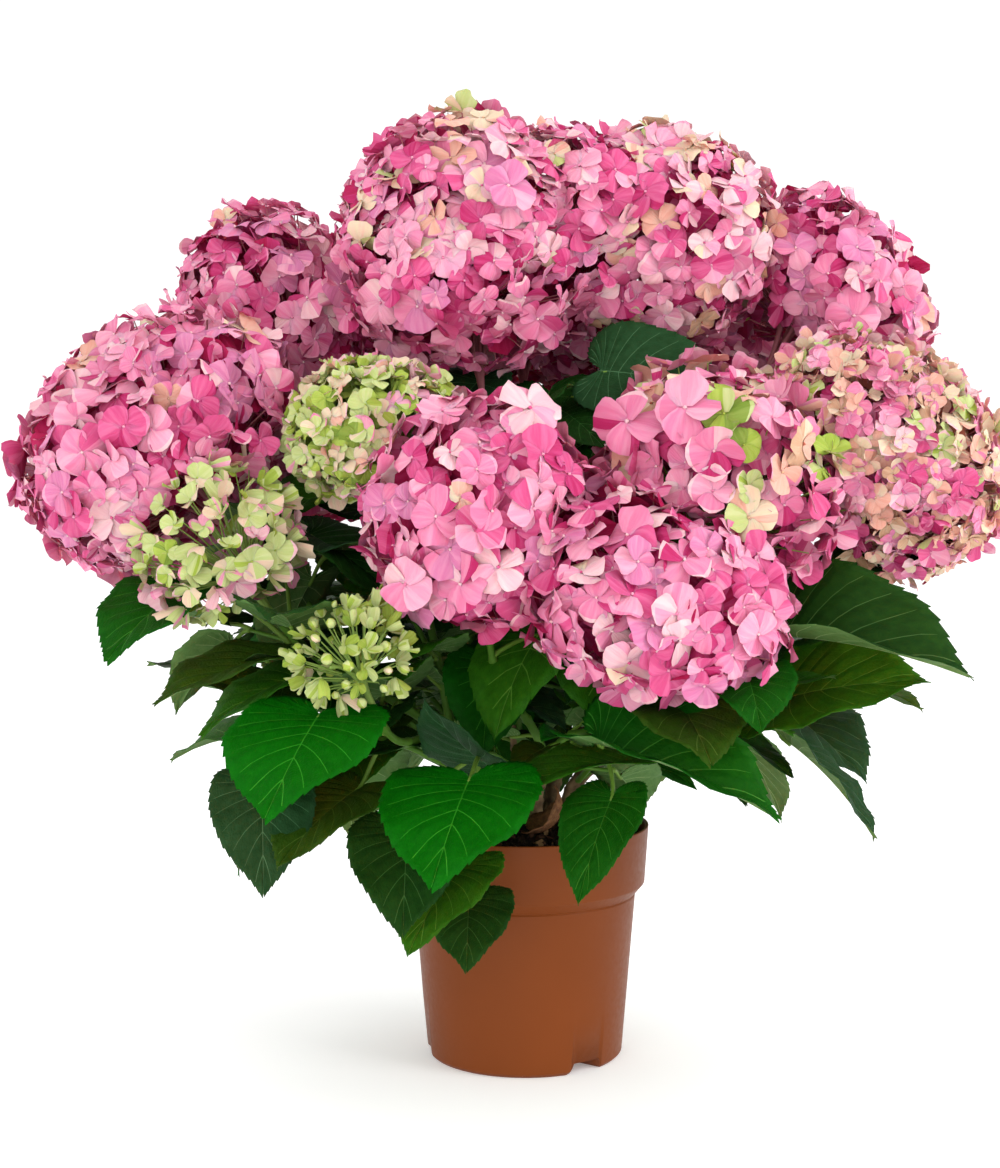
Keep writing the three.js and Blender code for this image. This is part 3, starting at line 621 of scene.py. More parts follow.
# %% Domes
LEAN = 0.15  # degrees of lean for each millimetre of reach
NECK = 0.016
HEADS = {  # cane, azimuth, reach, height, half width, half depth, kind of bloom
    "top_left": ("cane_middle", -66, 0.05, 0.616, 0.104, 0.097, "rose_top"),
    "top_right": ("cane_middle", 100, 0.102, 0.622, 0.094, 0.088, "faded"),
    "upper_left": ("cane_left", -109, 0.206, 0.562, 0.085, 0.092, "rose"),
    "left": ("cane_left", -78, 0.276, 0.47, 0.112, 0.088, "rose"),
    "back_side": ("cane_left", -112, 0.268, 0.404, 0.07, 0.058, "rose"),
    "upper_right": ("cane_right", 105, 0.242, 0.588, 0.092, 0.07, "rose"),
    "right": ("cane_right", 78, 0.262, 0.462, 0.102, 0.08, "aged"),
    "middle_right": ("cane_right", 50, 0.184, 0.447, 0.092, 0.076, "mixed"),
    "front_left": ("cane_front", -12, 0.172, 0.424, 0.086, 0.082, "bright"),
    "front_right": ("cane_front", 24, 0.205, 0.374, 0.098, 0.068, "bright"),
    "lime_left": ("cane_front_left", -43, 0.16, 0.48, 0.062, 0.05, "lime"),
    "young_left": ("cane_front_left", -58, 0.254, 0.402, 0.06, 0.054, "young"),
    "bud_left": ("cane_front_left", -31, 0.232, 0.33, 0.038, 0.032, "bud"),
    "back_top": ("cane_back_left", 180, 0.166, 0.6, 0.096, 0.088, "rose_top"),
    "back_left": ("cane_back_left", -140, 0.262, 0.484, 0.094, 0.08, "bright"),
    "back_right": ("cane_back_right", 140, 0.262, 0.486, 0.094, 0.08, "rose"),
    "back_low": ("cane_back_right", 180, 0.262, 0.402, 0.08, 0.064, "aged"),
}


class Dome:
    """A bloom's frame: its middle, its half sizes, and its own first, second and facing directions."""

    def __init__(self, cane, azimuth, reach, height, across, deep, kind):
        self.cane, self.kind, self.across, self.deep = cane, kind, across, deep
        lean = np.radians(1000 * reach * LEAN)
        self.middle = place(azimuth, reach, height)
        self.axis = towards(azimuth) * np.sin(lean) + UP * np.cos(lean)
        first = towards(azimuth + 90)
        self.axes = np.stack([first, np.cross(self.axis, first), self.axis])
        self.halves = np.array([across, across, deep])
        self.neck = self.middle - self.axis * (deep + NECK)

    def level_of(self, points):
        """How far out points lie, as a share of the dome's surface: |local / half sizes|."""
        return np.linalg.norm((points - self.middle) @ self.axes.T / self.halves, axis=-1)


domes = {name: Dome(*head) for name, head in HEADS.items()}
print("domes:", len(domes), "highest at", max(d.middle[2] + d.deep for d in domes.values()).round(3))

# %% Where the limbs spring from
SHOOT = {"start": 0.0034, "tip": 0.0025, "leave": 0.06, "rise": 0.4, "arrive": 0.07}
SHOOT |= {"sides": 5, "rings": 5, "shares": (0.9, 0.75, 0.6, 0.45, 0.3)}
TWIG = {"start": 0.0026, "tip": 0.0017, "leave": 0.035, "rise": 0.2, "arrive": 0.03}
TWIG |= {"sides": 4, "rings": 4, "shares": (0.3, 0.45, 0.6, 0.2, 0.75)}
BOWS = (0, 0.6, -0.6, 1.2, -1.2)  # how far sideways a limb may lean as it leaves


def limb_paths(cane, end, arriving, sizes):
    """Every curve that the rule may choose: a share of the way up the cane, and a bow to one side."""
    for share in sizes["shares"]:
        start = cane_path(cane, np.array([share]))[0]
        ahead = unit(end - start)
        sideways = unit(np.cross(ahead, UP))
        for bow in BOWS:
            leaving = unit(ahead + sideways * bow + UP * sizes["rise"])
            yield start, leaving, sizes["leave"], end, arriving, sizes["arrive"]


def built_path(node, paths, sizes):
    """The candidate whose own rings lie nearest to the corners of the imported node."""
    corners = node_points(node)
    t = np.linspace(0, 1, sizes["rings"] + 1)
    radii = sizes["start"] + (sizes["tip"] - sizes["start"]) * t

    def misfit(path):
        rings = tube(bezier(*path, t), radii, sizes["sides"])[0][sizes["sides"] : -2]
        return np.linalg.norm(rings[:, None] - corners, axis=-1).min(axis=1).mean()

    fits = [(misfit(path), number) for number, path in enumerate(paths)]
    return paths[min(fits)[1]], min(fits)[0]


shoots, misfits = {}, []
for name, dome in domes.items():
    paths = list(limb_paths(dome.cane, dome.neck, dome.axis, SHOOT))
    shoots[name], misfit = built_path("shoot_" + name, paths, SHOOT)
    misfits.append(misfit)
print("shoots found, worst misfit in mm:", round(1000 * max(misfits), 3))

# %% The green shoots
STEM = {"shine": 0.25, "glow": 0.1}  # every green stem and stalk is a little waxy and lets light in
HEEL = {"spread": 0.5, "length": 0.035}
SWELL = {"share": 0.3, "half": 0.02}
young_stem = finish("green_shoot", "4a7321", (0.4, 0.6), 300, 0.00025, (1, 1, 0.2), **STEM)


def swollen(t, sizes, nodes=(0.3, 0.6, 0.88)):
    """A taper, a heel that spreads onto the limb it leaves, and a smooth swelling at each node."""
    taper = sizes["start"] + (sizes["tip"] - sizes["start"]) * t
    heel = HEEL["spread"] * np.exp(-t / HEEL["length"])
    swelling = sum(np.exp(-(((t - at) / SWELL["half"]) ** 2)) for at in nodes)
    return taper * (1 + heel + SWELL["share"] * swelling)


for name, path in shoots.items():
    t = np.linspace(0, 1, 64)
    line, radii = bezier(*path, t), swollen(t, SHOOT)
    make_limb("green_shoot_" + name, line, radii, 12, young_stem, "green_stem", "shoot_" + name)
print("shoots:", len(shoots))

# %% [markdown]
# ## One leaf
#
# A hydrangea leaf is a broad, heart-based oval with a drawn-out tip, saw-toothed all the way round.
# A stout rib runs down it, and a dozen veins a side leave the rib and bend forward into the
# teeth, with the blade puffed up between them. A picture of a leaf on a card would look right only
# from the front, so the blade is a real sheet, and its grid follows the veins: one parameter walks
# down the rib from vein to vein, the other walks out along the vein to the edge. Then teeth, veins
# and puffs are simple functions of the two. Faces that lie on a vein take the paler vein finish.

# %% The flat blade
OUTLINE = [(0.0, 0.012), (-0.08, 0.09), (-0.125, 0.2), (-0.105, 0.33), (-0.01, 0.44), (0.16, 0.5)]
OUTLINE += [(0.36, 0.49), (0.56, 0.4), (0.74, 0.255), (0.89, 0.1), (1.0, 0.004)]
RIB_STARTS = [0.0, 0.0, 0.002, 0.008, 0.02, 0.055, 0.13, 0.245, 0.4, 0.61, 0.975]
VEIN = {"count": 13, "half": 0.028, "teeth": 2, "tooth": 0.016, "back": 0.045}
TOOTH = {"peak": 0.82, "last": 0.91, "forward": 0.45, "grow": 12, "fade": 9}
BOW = {"foot": 0.2, "more": 0.22, "out": 0.62}  # where a vein's middle control point lies, rib to edge
OUT_STATIONS = np.array([0.0, 0.12, 0.3, 0.5, 0.7, 0.88, 1.0])
RIB_HALF = (0.0095, 0.0022)  # half width of the rib at the foot and at the tip
LEAST = 0.012  # the blade starts this far up the rib, where the stalk ends


def smooth_through(values, at):
    """A Catmull-Rom curve through evenly spaced values: cubic pieces that share slopes (c - a) / 2."""
    values = np.array(values, dtype=float)
    ends = np.concatenate([[2 * values[0] - values[1]], values, [2 * values[-1] - values[-2]]])
    place_along = np.clip(np.asarray(at) * (len(values) - 1), 0, len(values) - 1 - 1e-9)
    k = place_along.astype(int)
    t = (place_along - k).reshape(place_along.shape + (1,) * (values.ndim - 1))
    a, b, c, d = ends[k], ends[k + 1], ends[k + 2], ends[k + 3]
    return b + 0.5 * t * (c - a + t * (2 * a - 5 * b + 4 * c - d + t * (3 * b - 3 * c + d - a)))


def vein_rows(count, teeth):
    """Rows down the rib: each vein's stretch has its teeth, valley then peak, the vein in the last."""
    starts = np.arange(teeth) / teeth
    phases = np.stack([starts, starts + TOOTH["peak"] / teeth], axis=-1).ravel()
    phases[-1] = TOOTH["last"]
    peaks = np.tile([0.0, 1.0], teeth)
    rows = (np.arange(count)[:, None] + phases).ravel() / count
    on_vein = np.tile([1.0, *[0.0] * (2 * teeth - 2), -1.0], count)
    return np.append(rows, 1.0), np.append(np.tile(peaks, count), 0.0), np.append(on_vein, 0.0)


def blade_half(count, teeth, out):
    """x, y, puff and edge share of one half, as rows by stations out.

    Each row is a quadratic curve from the rib to the edge. A vein is two rows close together, and
    puff = sin(pi phase)^0.7 sin(pi out^0.75), where the phase runs from 0 at a vein to 1 at the next.
    """
    rows, peaks, on_vein = vein_rows(count, teeth)
    out = out[None]
    centre = (np.floor(rows * count + 0.5) - VEIN["back"]) / count
    beside = on_vein[:, None] * VEIN["half"] / count * (1.3 - 0.9 * out)
    down = np.where(on_vein[:, None] == 0, rows[:, None], centre[:, None] + beside)
    down = np.clip(down, LEAST, 1.0)
    edge = smooth_through(OUTLINE, down)
    before, after = (smooth_through(OUTLINE, at) for at in (down - 0.004, np.clip(down + 0.004, 0, 1)))
    ahead = after - before
    outward = np.stack([-ahead[..., 1], ahead[..., 0]], axis=-1)
    outward = unit(outward + 1e-9) + TOOTH["forward"] * unit(ahead + 1e-9)
    fade = np.clip(down * TOOTH["grow"], 0, 1) * np.clip((1 - down) * TOOTH["fade"], 0.25, 1)
    edge = edge + outward * (VEIN["tooth"] * peaks[:, None] * fade)[..., None]
    half_rib = RIB_HALF[0] + (RIB_HALF[1] - RIB_HALF[0]) * down
    start = np.stack([smooth_through(RIB_STARTS, down), half_rib], axis=-1)
    share = np.stack([BOW["foot"] + BOW["more"] * down, BOW["out"] + 0 * down], axis=-1)
    bend = start + share * (edge - start)
    v = out[..., None]
    flat = (1 - v) ** 2 * start + 2 * v * (1 - v) * bend + v**2 * edge
    phase = (down * count + VEIN["back"]) % 1.0
    puff = np.sin(np.pi * phase) ** 0.7 * np.sin(np.pi * np.clip(out, 0.02, 1) ** 0.75)
    return flat[..., 0], flat[..., 1], puff, out + 0 * down


def blade_template(count=VEIN["count"], teeth=VEIN["teeth"], out=OUT_STATIONS):
    """The whole flat leaf of length 1, upper and under sheet joined round the rim.

    Columns run from one edge over the rib to the other. Returns x, y, puff, edge share and sheet
    (0 above, 1 below) for each point, then faces and their parts: 0 blade, 1 vein, and the same on
    the underside as 2 and 3.
    """
    half = blade_half(count, teeth, out)
    mirrored = zip(half, (1, -1, 1, 1))
    columns = [np.concatenate([a[:, ::-1] * sign, a[:, :1] * 0, a], axis=1) for a, sign in mirrored]
    columns[0][:, len(out)] = half[0][:, 0]
    rows, wide = columns[0].shape
    faces = grid_faces(rows, wide)
    row, column = np.divmod(np.arange(len(faces)), wide - 1)
    rib = (column == len(out) - 1) | (column == len(out))
    vein = (row % (2 * teeth) == 2 * teeth - 1) & (np.abs(column - len(out) + 0.5) < len(out) - 0.6)
    vein &= row < rows - 2
    part = (rib | vein).astype(int)
    total = rows * wide
    border = np.concatenate([
        np.arange(wide), wide * np.arange(1, rows) + wide - 1,
        (rows - 1) * wide + np.arange(wide - 2, -1, -1), wide * np.arange(rows - 2, 0, -1),
    ])
    ahead = np.roll(border, -1)
    rim = np.stack([border, ahead, ahead + total, border + total], axis=-1)
    faces = np.vstack([faces[:, [0, 3, 2, 1]], faces + total, rim])
    part = np.concatenate([part, part + 2, np.zeros(len(rim), dtype=int)])
    flat = [np.tile(a.ravel(), 2) for a in columns]
    sheet = np.repeat([0.0, 1.0], total)
    return (*flat, sheet), faces, part


template = blade_template()
print("a blade has", len(template[1]), "faces and", len(template[0][0]), "points")

# %% [markdown]
# ## Bending a leaf into place
#
# The flat blade is folded a little along its rib and rolled down towards its tip, exactly as the
# packed leaf is, so that both end at the same tip. The puffs between the veins, a waviness that
# grows towards the edge and the blade's own thickness are added on the way.

# %% Bending
LEAF = {"width": 0.8, "curl": 38.0, "fold": 14.0, "puff": 0.016, "wave": 0.02, "thick": 0.00045}


def blade_axes(heading, pitch, roll=0.0):
    """The blade's directions: along its rib, across it, and out of its upper face."""
    pitch = np.radians(pitch)
    along = towards(heading) * np.cos(pitch) + UP * np.sin(pitch)
    across = turned_about(towards(heading + 90), along, np.radians(roll))
    return along, across, np.cross(along, across)


def bent(x, y, z, length, curl=LEAF["curl"], fold=LEAF["fold"]):
    """Fold: z + |y| sin f and y cos f. Curl: the rib becomes an arc of angle curl x / length."""
    turn, fold = np.radians(curl), np.radians(fold)
    angle = turn * x / length
    lifted = np.abs(y) * np.sin(fold) + z
    along = (length / turn + lifted) * np.sin(angle)
    up = -(length / turn) * (1 - np.cos(angle)) + lifted * np.cos(angle)
    return along, y * np.cos(fold), up


def carried(foot, axes, local):
    """Local along, across and out as a point in space: foot + a along + b across + c out."""
    return foot + sum(part[..., None] * axis for part, axis in zip(local, axes))


def on_leaf(leaf, x, y, z):
    """Points of the flat blade of length 1, as wide and long as this leaf, bent and carried to it."""
    length = leaf["length"]
    wide = LEAF["width"] * leaf.get("width", 1.0) * length
    curl, fold = (leaf.get(name, LEAF[name]) for name in ("curl", "fold"))
    axes = blade_axes(leaf["heading"], leaf["pitch"], leaf["roll"])
    return carried(leaf["foot"], axes, bent(x * length, y * wide, z, length, curl, fold))


def blade_points(leaf, shape, random):
    """The template's points on one leaf, with its puffs, a wave of its own, and its thickness.

    wave = share^2 sin(turns x + phase), where the phase differs between the two halves.
    """
    x, y, puff, share, sheet = shape[0]
    turns = random.uniform(1.5, 3.2) * 2 * np.pi
    wave = LEAF["wave"] * share**2 * np.sin(turns * x + random.uniform(0, 6) + 1.4 * np.sign(y))
    return on_leaf(leaf, x, y, (LEAF["puff"] * puff + wave) * leaf["length"] - LEAF["thick"] * sheet)


def tip_of(leaf):
    """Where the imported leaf's tip lies: the rib's far end, bent."""
    return on_leaf(leaf, np.ones(1), np.zeros(1), np.zeros(1))[0]


turn = np.radians(LEAF["curl"])
print("a 100 mm leaf curls down by", round(100 * (1 - np.cos(turn)) / turn, 1), "mm")

# %% [markdown]
# ## The leafy twigs
#
# Each mass of leaves hangs on one twig that springs from a cane. Its large outer leaves are placed
# one by one, which is what gives the shrub its outline, and a seeded rule adds opposite pairs up
# the twig, each pair crosswise to the last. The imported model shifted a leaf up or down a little
# where it touched its neighbours, or left it out. Here the leaf's expected tip is looked for among
# the node's corners, which tells where it was built. The blade is then relaxed: it curls less, and
# starts lower by half of that, so that its tip stays where it was.

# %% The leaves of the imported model
# For each twig: its cane, its tip, how many pairs the rule adds, and the leaves placed one by one,
# by azimuth, reach, height, heading, pitch, length, tint and for some a roll.
TWIGS = {
    "leaves_front": ("cane_front", (-14, 0.128, 0.25), 0, [
        (-12, 0.189, 0.244, -11, -4, 0.132, "vivid"), (-29, 0.172, 0.204, 0, -18, 0.1, "deep"),
        (-17, 0.157, 0.178, -25, -11, 0.095, "fresh"), (-18, 0.132, 0.15, -1, -10, 0.08, "deep"),
        (-10, 0.132, 0.241, -39, 56, 0.095, "dusk")]),
    "leaves_front_left": ("cane_front_left", (-46, 0.168, 0.262), 0, [
        (-37, 0.234, 0.288, -12, -4, 0.132, "vivid"), (-56, 0.226, 0.232, 7, -32, 0.092, "dusk"),
        (-48, 0.16, 0.224, -33, -5, 0.105, "olive")]),
    "leaves_left": ("cane_left", (-62, 0.19, 0.322), 0, [
        (-67, 0.262, 0.369, -27, -7, 0.108, "lush"), (-54, 0.205, 0.321, -52, 5, 0.115, "olive"),
        (-57, 0.222, 0.326, 55, 24, 0.06, "olive"), (-70, 0.196, 0.392, -30, 40, 0.08, "dusk")]),
    "leaves_middle_left": ("cane_front_left", (-56, 0.138, 0.38), 0, [
        (-61, 0.18, 0.405, 58, -13, 0.12, "deep"), (-56, 0.135, 0.4, -38, 19, 0.095, "dusk")]),
    "leaves_front_middle": ("cane_front", (24, 0.124, 0.262), 0, [
        (22, 0.16, 0.226, -23, -24, 0.094, "lush"), (31, 0.16, 0.268, -58, 13, 0.115, "fresh")]),
    "leaves_front_right": ("cane_right", (30, 0.176, 0.272), 0, [
        (14, 0.19, 0.257, 59, 1, 0.14, "lush"), (34, 0.18, 0.295, 8, 4, 0.12, "olive"),
        (38, 0.238, 0.318, 2, -6, 0.078, "lush")]),
    "leaves_right": ("cane_right", (60, 0.18, 0.3), 0, [
        (53, 0.214, 0.345, 55, 10, 0.15, "deep"), (58, 0.206, 0.285, 47, 28, 0.125, "fresh"),
        (73, 0.2, 0.251, 41, -15, 0.112, "dusk")]),
    "leaves_right_high": (
        "cane_right", (88, 0.18, 0.35), 1, [(85, 0.216, 0.368, 60, 30, 0.125, "deep")]),
    "leaves_crown": ("cane_middle", (30, 0.04, 0.472), 0, [
        (42, 0.08, 0.512, 66, 4, 0.104, "dusk", 52), (10, 0.062, 0.498, -22, -2, 0.084, "deep", 20),
        (24, 0.06, 0.494, 22, -4, 0.076, "deep", 20)]),
    "leaves_back_right_low": ("cane_right", (112, 0.19, 0.268), 3, []),
    "leaves_back_right": ("cane_back_right", (132, 0.196, 0.34), 2, []),
    "leaves_back_low": ("cane_back_right", (158, 0.186, 0.258), 3, []),
    "leaves_back": ("cane_back_left", (-172, 0.18, 0.33), 2, []),
    "leaves_back_left_low": ("cane_back_left", (-150, 0.176, 0.252), 2, []),
    "leaves_back_left": ("cane_back_left", (-128, 0.2, 0.338), 2, []),
    "leaves_left_low": ("cane_left", (-98, 0.176, 0.258), 2, []),
}
SHIFTS = (0, -0.01, 0.01, -0.02, 0.02)
NEAR = 0.0008  # a corner this near to an expected tip is that tip
PAIR = {"first": 0.5, "spread": 74, "level": -12, "upper": 28, "lower": -44, "jitter": 9}
PAIR |= {"length": 0.092, "longer": 0.034, "stalk": 0.026}
SEED = 101
TINTS = ("vivid", "lush", "fresh", "deep", "dusk", "olive")


def seeded(state):
    """Park and Miller's generator: each number is the last times 16807, modulo 2^31 - 1."""
    while True:
        state = state * 16807 % 2147483647
        yield state / 2147483647


def paired_leaves(twig_path, tip_azimuth, pairs, numbers):
    """Opposite pairs up the twig: the first spreads to both sides, the next up and down, and so on."""
    def jitter():
        return PAIR["jitter"] * (2 * next(numbers) - 1)

    for pair in range(pairs):
        share = PAIR["first"] + (1 - PAIR["first"]) * pair / max(pairs - 1, 1)
        node = bezier(*twig_path, np.array([share]))[0]
        for side in (-1, 1):
            spreads = pair % 2 == 0
            heading = tip_azimuth + (side * PAIR["spread"] if spreads else 0) + jitter()
            pitch = PAIR["level" if spreads else "upper" if side > 0 else "lower"] + jitter()
            length = PAIR["length"] + PAIR["longer"] * next(numbers)
            foot_at = node + blade_axes(heading, pitch)[0] * PAIR["stalk"]
            yield {"foot": foot_at, "heading": heading, "pitch": pitch, "roll": 0.0, "length": length}


def as_built(leaf, corners):
    """The leaf at the shift whose tip is a corner of the node, or None if it was left out."""
    for shift in SHIFTS:
        moved = {**leaf, "foot": leaf["foot"] + shift * UP}
        if np.linalg.norm(corners - tip_of(moved), axis=1).min() < NEAR:
            return moved
    return None


RELAXED = {"vivid": (12, 5)}  # curl and fold of the blades that hang with their faces to the front
RELAXED_ALL = (22, 10)
# Single leaves that the wind has turned: roll, fold and width. One folded deep shows its near half
# from below, and one turned right over shows its underside.
TURNED = {
    ("leaves_right", 0): (20, 36, 1.0),
    ("leaves_right", 1): (36, 10, 1.0),
    ("leaves_right", 2): (-26, 16, 0.72),
    ("leaves_right_high", 0): (26, 10, 1.0),
    ("leaves_front_right", 0): (18, 34, 0.95),
    ("leaves_front_middle", 0): (0, 10, 0.78),
    ("leaves_front", 4): (180, 10, 0.95),
}


def relaxed(leaf, number, mass):
    """The same chord with less curl: a smaller arc whose start dips by half of what the curl loses.

    A leaf that is turned right over curls upwards, so its start dips by half of both curls.
    """
    curl, fold = RELAXED.get(leaf["tint"], RELAXED_ALL)
    roll, fold, width = TURNED.get((mass, number), (0, fold, 1.0))
    dip = (LEAF["curl"] - curl if abs(roll) < 90 else LEAF["curl"] + curl) / 2
    leaf = {**leaf, "curl": curl, "fold": fold, "pitch": leaf["pitch"] - dip}
    return {**leaf, "roll": leaf["roll"] + roll, "width": width}


PLACED = ("heading", "pitch", "length", "tint", "roll")
twig_paths, mass_leaves, left_out = {}, {}, []
tint_rng = np.random.default_rng(23)
for number, (mass, (cane, tip, pairs, placed)) in enumerate(TWIGS.items()):
    paths = list(limb_paths(cane, place(*tip), towards(tip[0]), TWIG))
    twig_paths[mass], misfit = built_path(mass, paths, TWIG)
    corners = node_points(mass)
    leaves = [{"foot": place(*row[:3]), "roll": 0.0, **dict(zip(PLACED, row[3:]))} for row in placed]
    for leaf in paired_leaves(twig_paths[mass], tip[0], pairs, seeded(SEED * (number + 1))):
        leaves.append({**leaf, "tint": str(tint_rng.choice(TINTS[1:]))})
    found = [as_built(leaf, corners) for leaf in leaves]
    mass_leaves[mass] = [relaxed(leaf, i, mass) for i, leaf in enumerate(found) if leaf]
    left_out += [(mass, i) for i, leaf in enumerate(found) if not leaf]
print("packed leaves:", sum(map(len, mass_leaves.values())), "left out there:", len(left_out))

# %% [markdown]
# ## Finer twigs
#
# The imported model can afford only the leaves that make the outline. The real shrub is full inside:
# each shoot carries pairs of leaves up to its bloom, and each twig forks again. The same rule is
# carried on here, to side twigs and to pairs of leaves on the shoots. A new leaf is kept only
# where a net of points over its blade stays clear of every bloom, limb and leaf that is already
# there and no lower than its mass, so nothing cuts through its neighbour and the crown keeps its
# reach. A few leaves fill set places: under the two top blooms, in the middle of the front, and
# behind the canes, where the shrub is dark and full.

# %% Room for a leaf
NET_X, NET_Y = (a.ravel() for a in np.meshgrid(np.linspace(0.0, 0.97, 10), np.linspace(-1, 1, 7)))
NET_WIDTH = smooth_through([0.2, 0.46, 0.49, 0.4, 0.22, 0.05], NET_X)
FOOT_POINTS, MIDDLE_POINT = 14, 35  # the net's points at the stalk, and the one in its middle
CLEAR = {"leaf": 0.0052, "limb": 0.004, "dome": 0.93, "floor": 0.012, "box": 0.002}
CLEAR |= {"pot_side": 0.004, "pot_top": 0.006}
# No new leaf grows in these two spaces: half width, front and top. One would hide the soil or the
# great front leaves.
WINDOWS = ((0.13, -0.05, 0.236), (0.21, -0.175, 0.305))


def net_of(leaf):
    """Seventy points spread over the bent blade, where half the width follows a smooth curve."""
    return on_leaf(leaf, NET_X, NET_Y * NET_WIDTH, 0 * NET_X)


def nearest(points, others):
    """The least distance between two sets of points."""
    if not len(others):
        return np.inf
    squares = (points**2).sum(1)[:, None] + (others**2).sum(1) - 2 * points @ others.T
    return np.sqrt(max(squares.min(), 0))


limb_net = np.concatenate([
    *(cane_path(cane, np.linspace(0, 1, 30)) for cane in CANES),
    *(bezier(*path, np.linspace(0, 1, 50)) for path in shoots.values()),
    *(bezier(*path, np.linspace(0, 1, 30)) for path in twig_paths.values()),
])
leaf_nets = [net_of(leaf) for leaves in mass_leaves.values() for leaf in leaves]
box_low, box_high = np.array(cad_box)


def has_room(leaf, mass):
    """True where the blade clears domes, pot, limbs and leaves, and hangs no lower than its mass."""
    net = net_of(leaf)
    x, y, z = net.T
    if (net < box_low + CLEAR["box"]).any() or (net > box_high - CLEAR["box"]).any():
        return False
    if z.min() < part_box(mass)[0][2] + CLEAR["floor"]:
        return False
    if any(((abs(x) < half) & (y < front) & (z < top)).any() for half, front, top in WINDOWS):
        return False
    if any(dome.level_of(net).min() < CLEAR["dome"] for dome in domes.values()):
        return False
    over_pot = np.hypot(x, y) < POT["rim"] + CLEAR["pot_side"]
    if (over_pot & (z < POT["height"] + CLEAR["pot_top"])).any():
        return False
    if nearest(net[FOOT_POINTS:], limb_net) < CLEAR["limb"]:
        return False
    middle = net[MIDDLE_POINT]
    close = [other for other in leaf_nets if np.abs(other[MIDDLE_POINT] - middle).max() < 0.2]
    return not close or nearest(net, np.concatenate(close)) > CLEAR["leaf"]


print("leaves so far:", len(leaf_nets), "points on limbs:", len(limb_net))

# %% Growing on
# Shares of the way up the limbs where leaves grow, then the side twigs' length and spread, the
# leaves' lengths and stalk, how often a leaf is tried, and the tilt of leaves one above the other.
FINE = {"twigs": (0.3, 0.5, 0.7, 0.9), "shoots": (0.14, 0.24, 0.34, 0.45, 0.56, 0.68, 0.8)}
FINE |= {"canes": (0.5, 0.7, 0.9), "side": 0.045, "spread": 58}
FINE |= {"length": (0.042, 0.105), "stalk": 0.018, "tries": 9, "raised": 30, "dropped": 38}
TINT_SHARES = (0.22, 0.34, 0.16, 0.1, 0.18)  # of the grown leaves, for each tint but the first
HANG = {"tries": 24, "aside": 0.012, "shorter": 0.012}
grow_rng = np.random.default_rng(41)
side_twigs = {mass: [] for mass in TWIGS}


def nearest_mass(point):
    """The mass whose twig tip is nearest, which is the one that a leaf at the point belongs to."""
    tips = np.array([place(*TWIGS[mass][1]) for mass in TWIGS])
    return list(TWIGS)[int(np.linalg.norm(tips - point, axis=1).argmin())]


def try_leaf(node, heading, pitch, mass):
    """A leaf on a stalk from the node, tried shorter and a little aside until it has room."""
    shortest, longest = FINE["length"]
    for attempt in range(FINE["tries"]):
        length = longest + (shortest - longest) * attempt / (FINE["tries"] - 1)
        leaf = {
            "heading": heading + grow_rng.uniform(-16, 16), "pitch": pitch + grow_rng.uniform(-14, 14),
            "length": length * grow_rng.uniform(0.9, 1.08), "roll": grow_rng.uniform(-14, 14),
            "curl": grow_rng.uniform(24, 52), "fold": grow_rng.uniform(8, 22),
        }
        along = blade_axes(leaf["heading"], leaf["pitch"])[0]
        leaf["foot"] = node + along * FINE["stalk"] * (0.8 + length * 4)
        if has_room(leaf, mass):
            leaf["tint"] = str(grow_rng.choice(TINTS[1:], p=TINT_SHARES))
            leaf["from"] = node
            leaf_nets.append(net_of(leaf))
            return leaf
    return None


def hang_leaf(foot, heading, pitch, length, tint, mass):
    """A leaf at a set place, nudged up to 12 mm until it has room, on a stalk from the nearest limb."""
    for attempt in range(HANG["tries"]):
        aside = grow_rng.uniform(-1, 1, 3) * HANG["aside"] * min(1, attempt / 6)
        leaf = {"foot": foot + aside, "heading": heading, "pitch": pitch, "tint": tint}
        leaf |= {"length": length * (1 - HANG["shorter"] * attempt), "curl": 30, "fold": 10}
        leaf["roll"] = grow_rng.uniform(-10, 10)
        if has_room(leaf, mass):
            leaf["from"] = limb_net[np.linalg.norm(limb_net - leaf["foot"], axis=1).argmin()]
            leaf_nets.append(net_of(leaf))
            mass_leaves[mass].append(leaf)
            return True
    return False


def grow_pair(node, heading, pitch, mass, turn):
    """Two opposite leaves at a node: side by side, or one above the other, by turns."""
    for side in (-1, 1):
        if turn:
            leaf = try_leaf(node, heading + side * PAIR["spread"], pitch, mass)
        else:
            tilt = FINE["raised"] if side > 0 else -FINE["dropped"]
            leaf = try_leaf(node, heading, pitch + tilt, mass)
        if leaf:
            mass_leaves[mass].append(leaf)


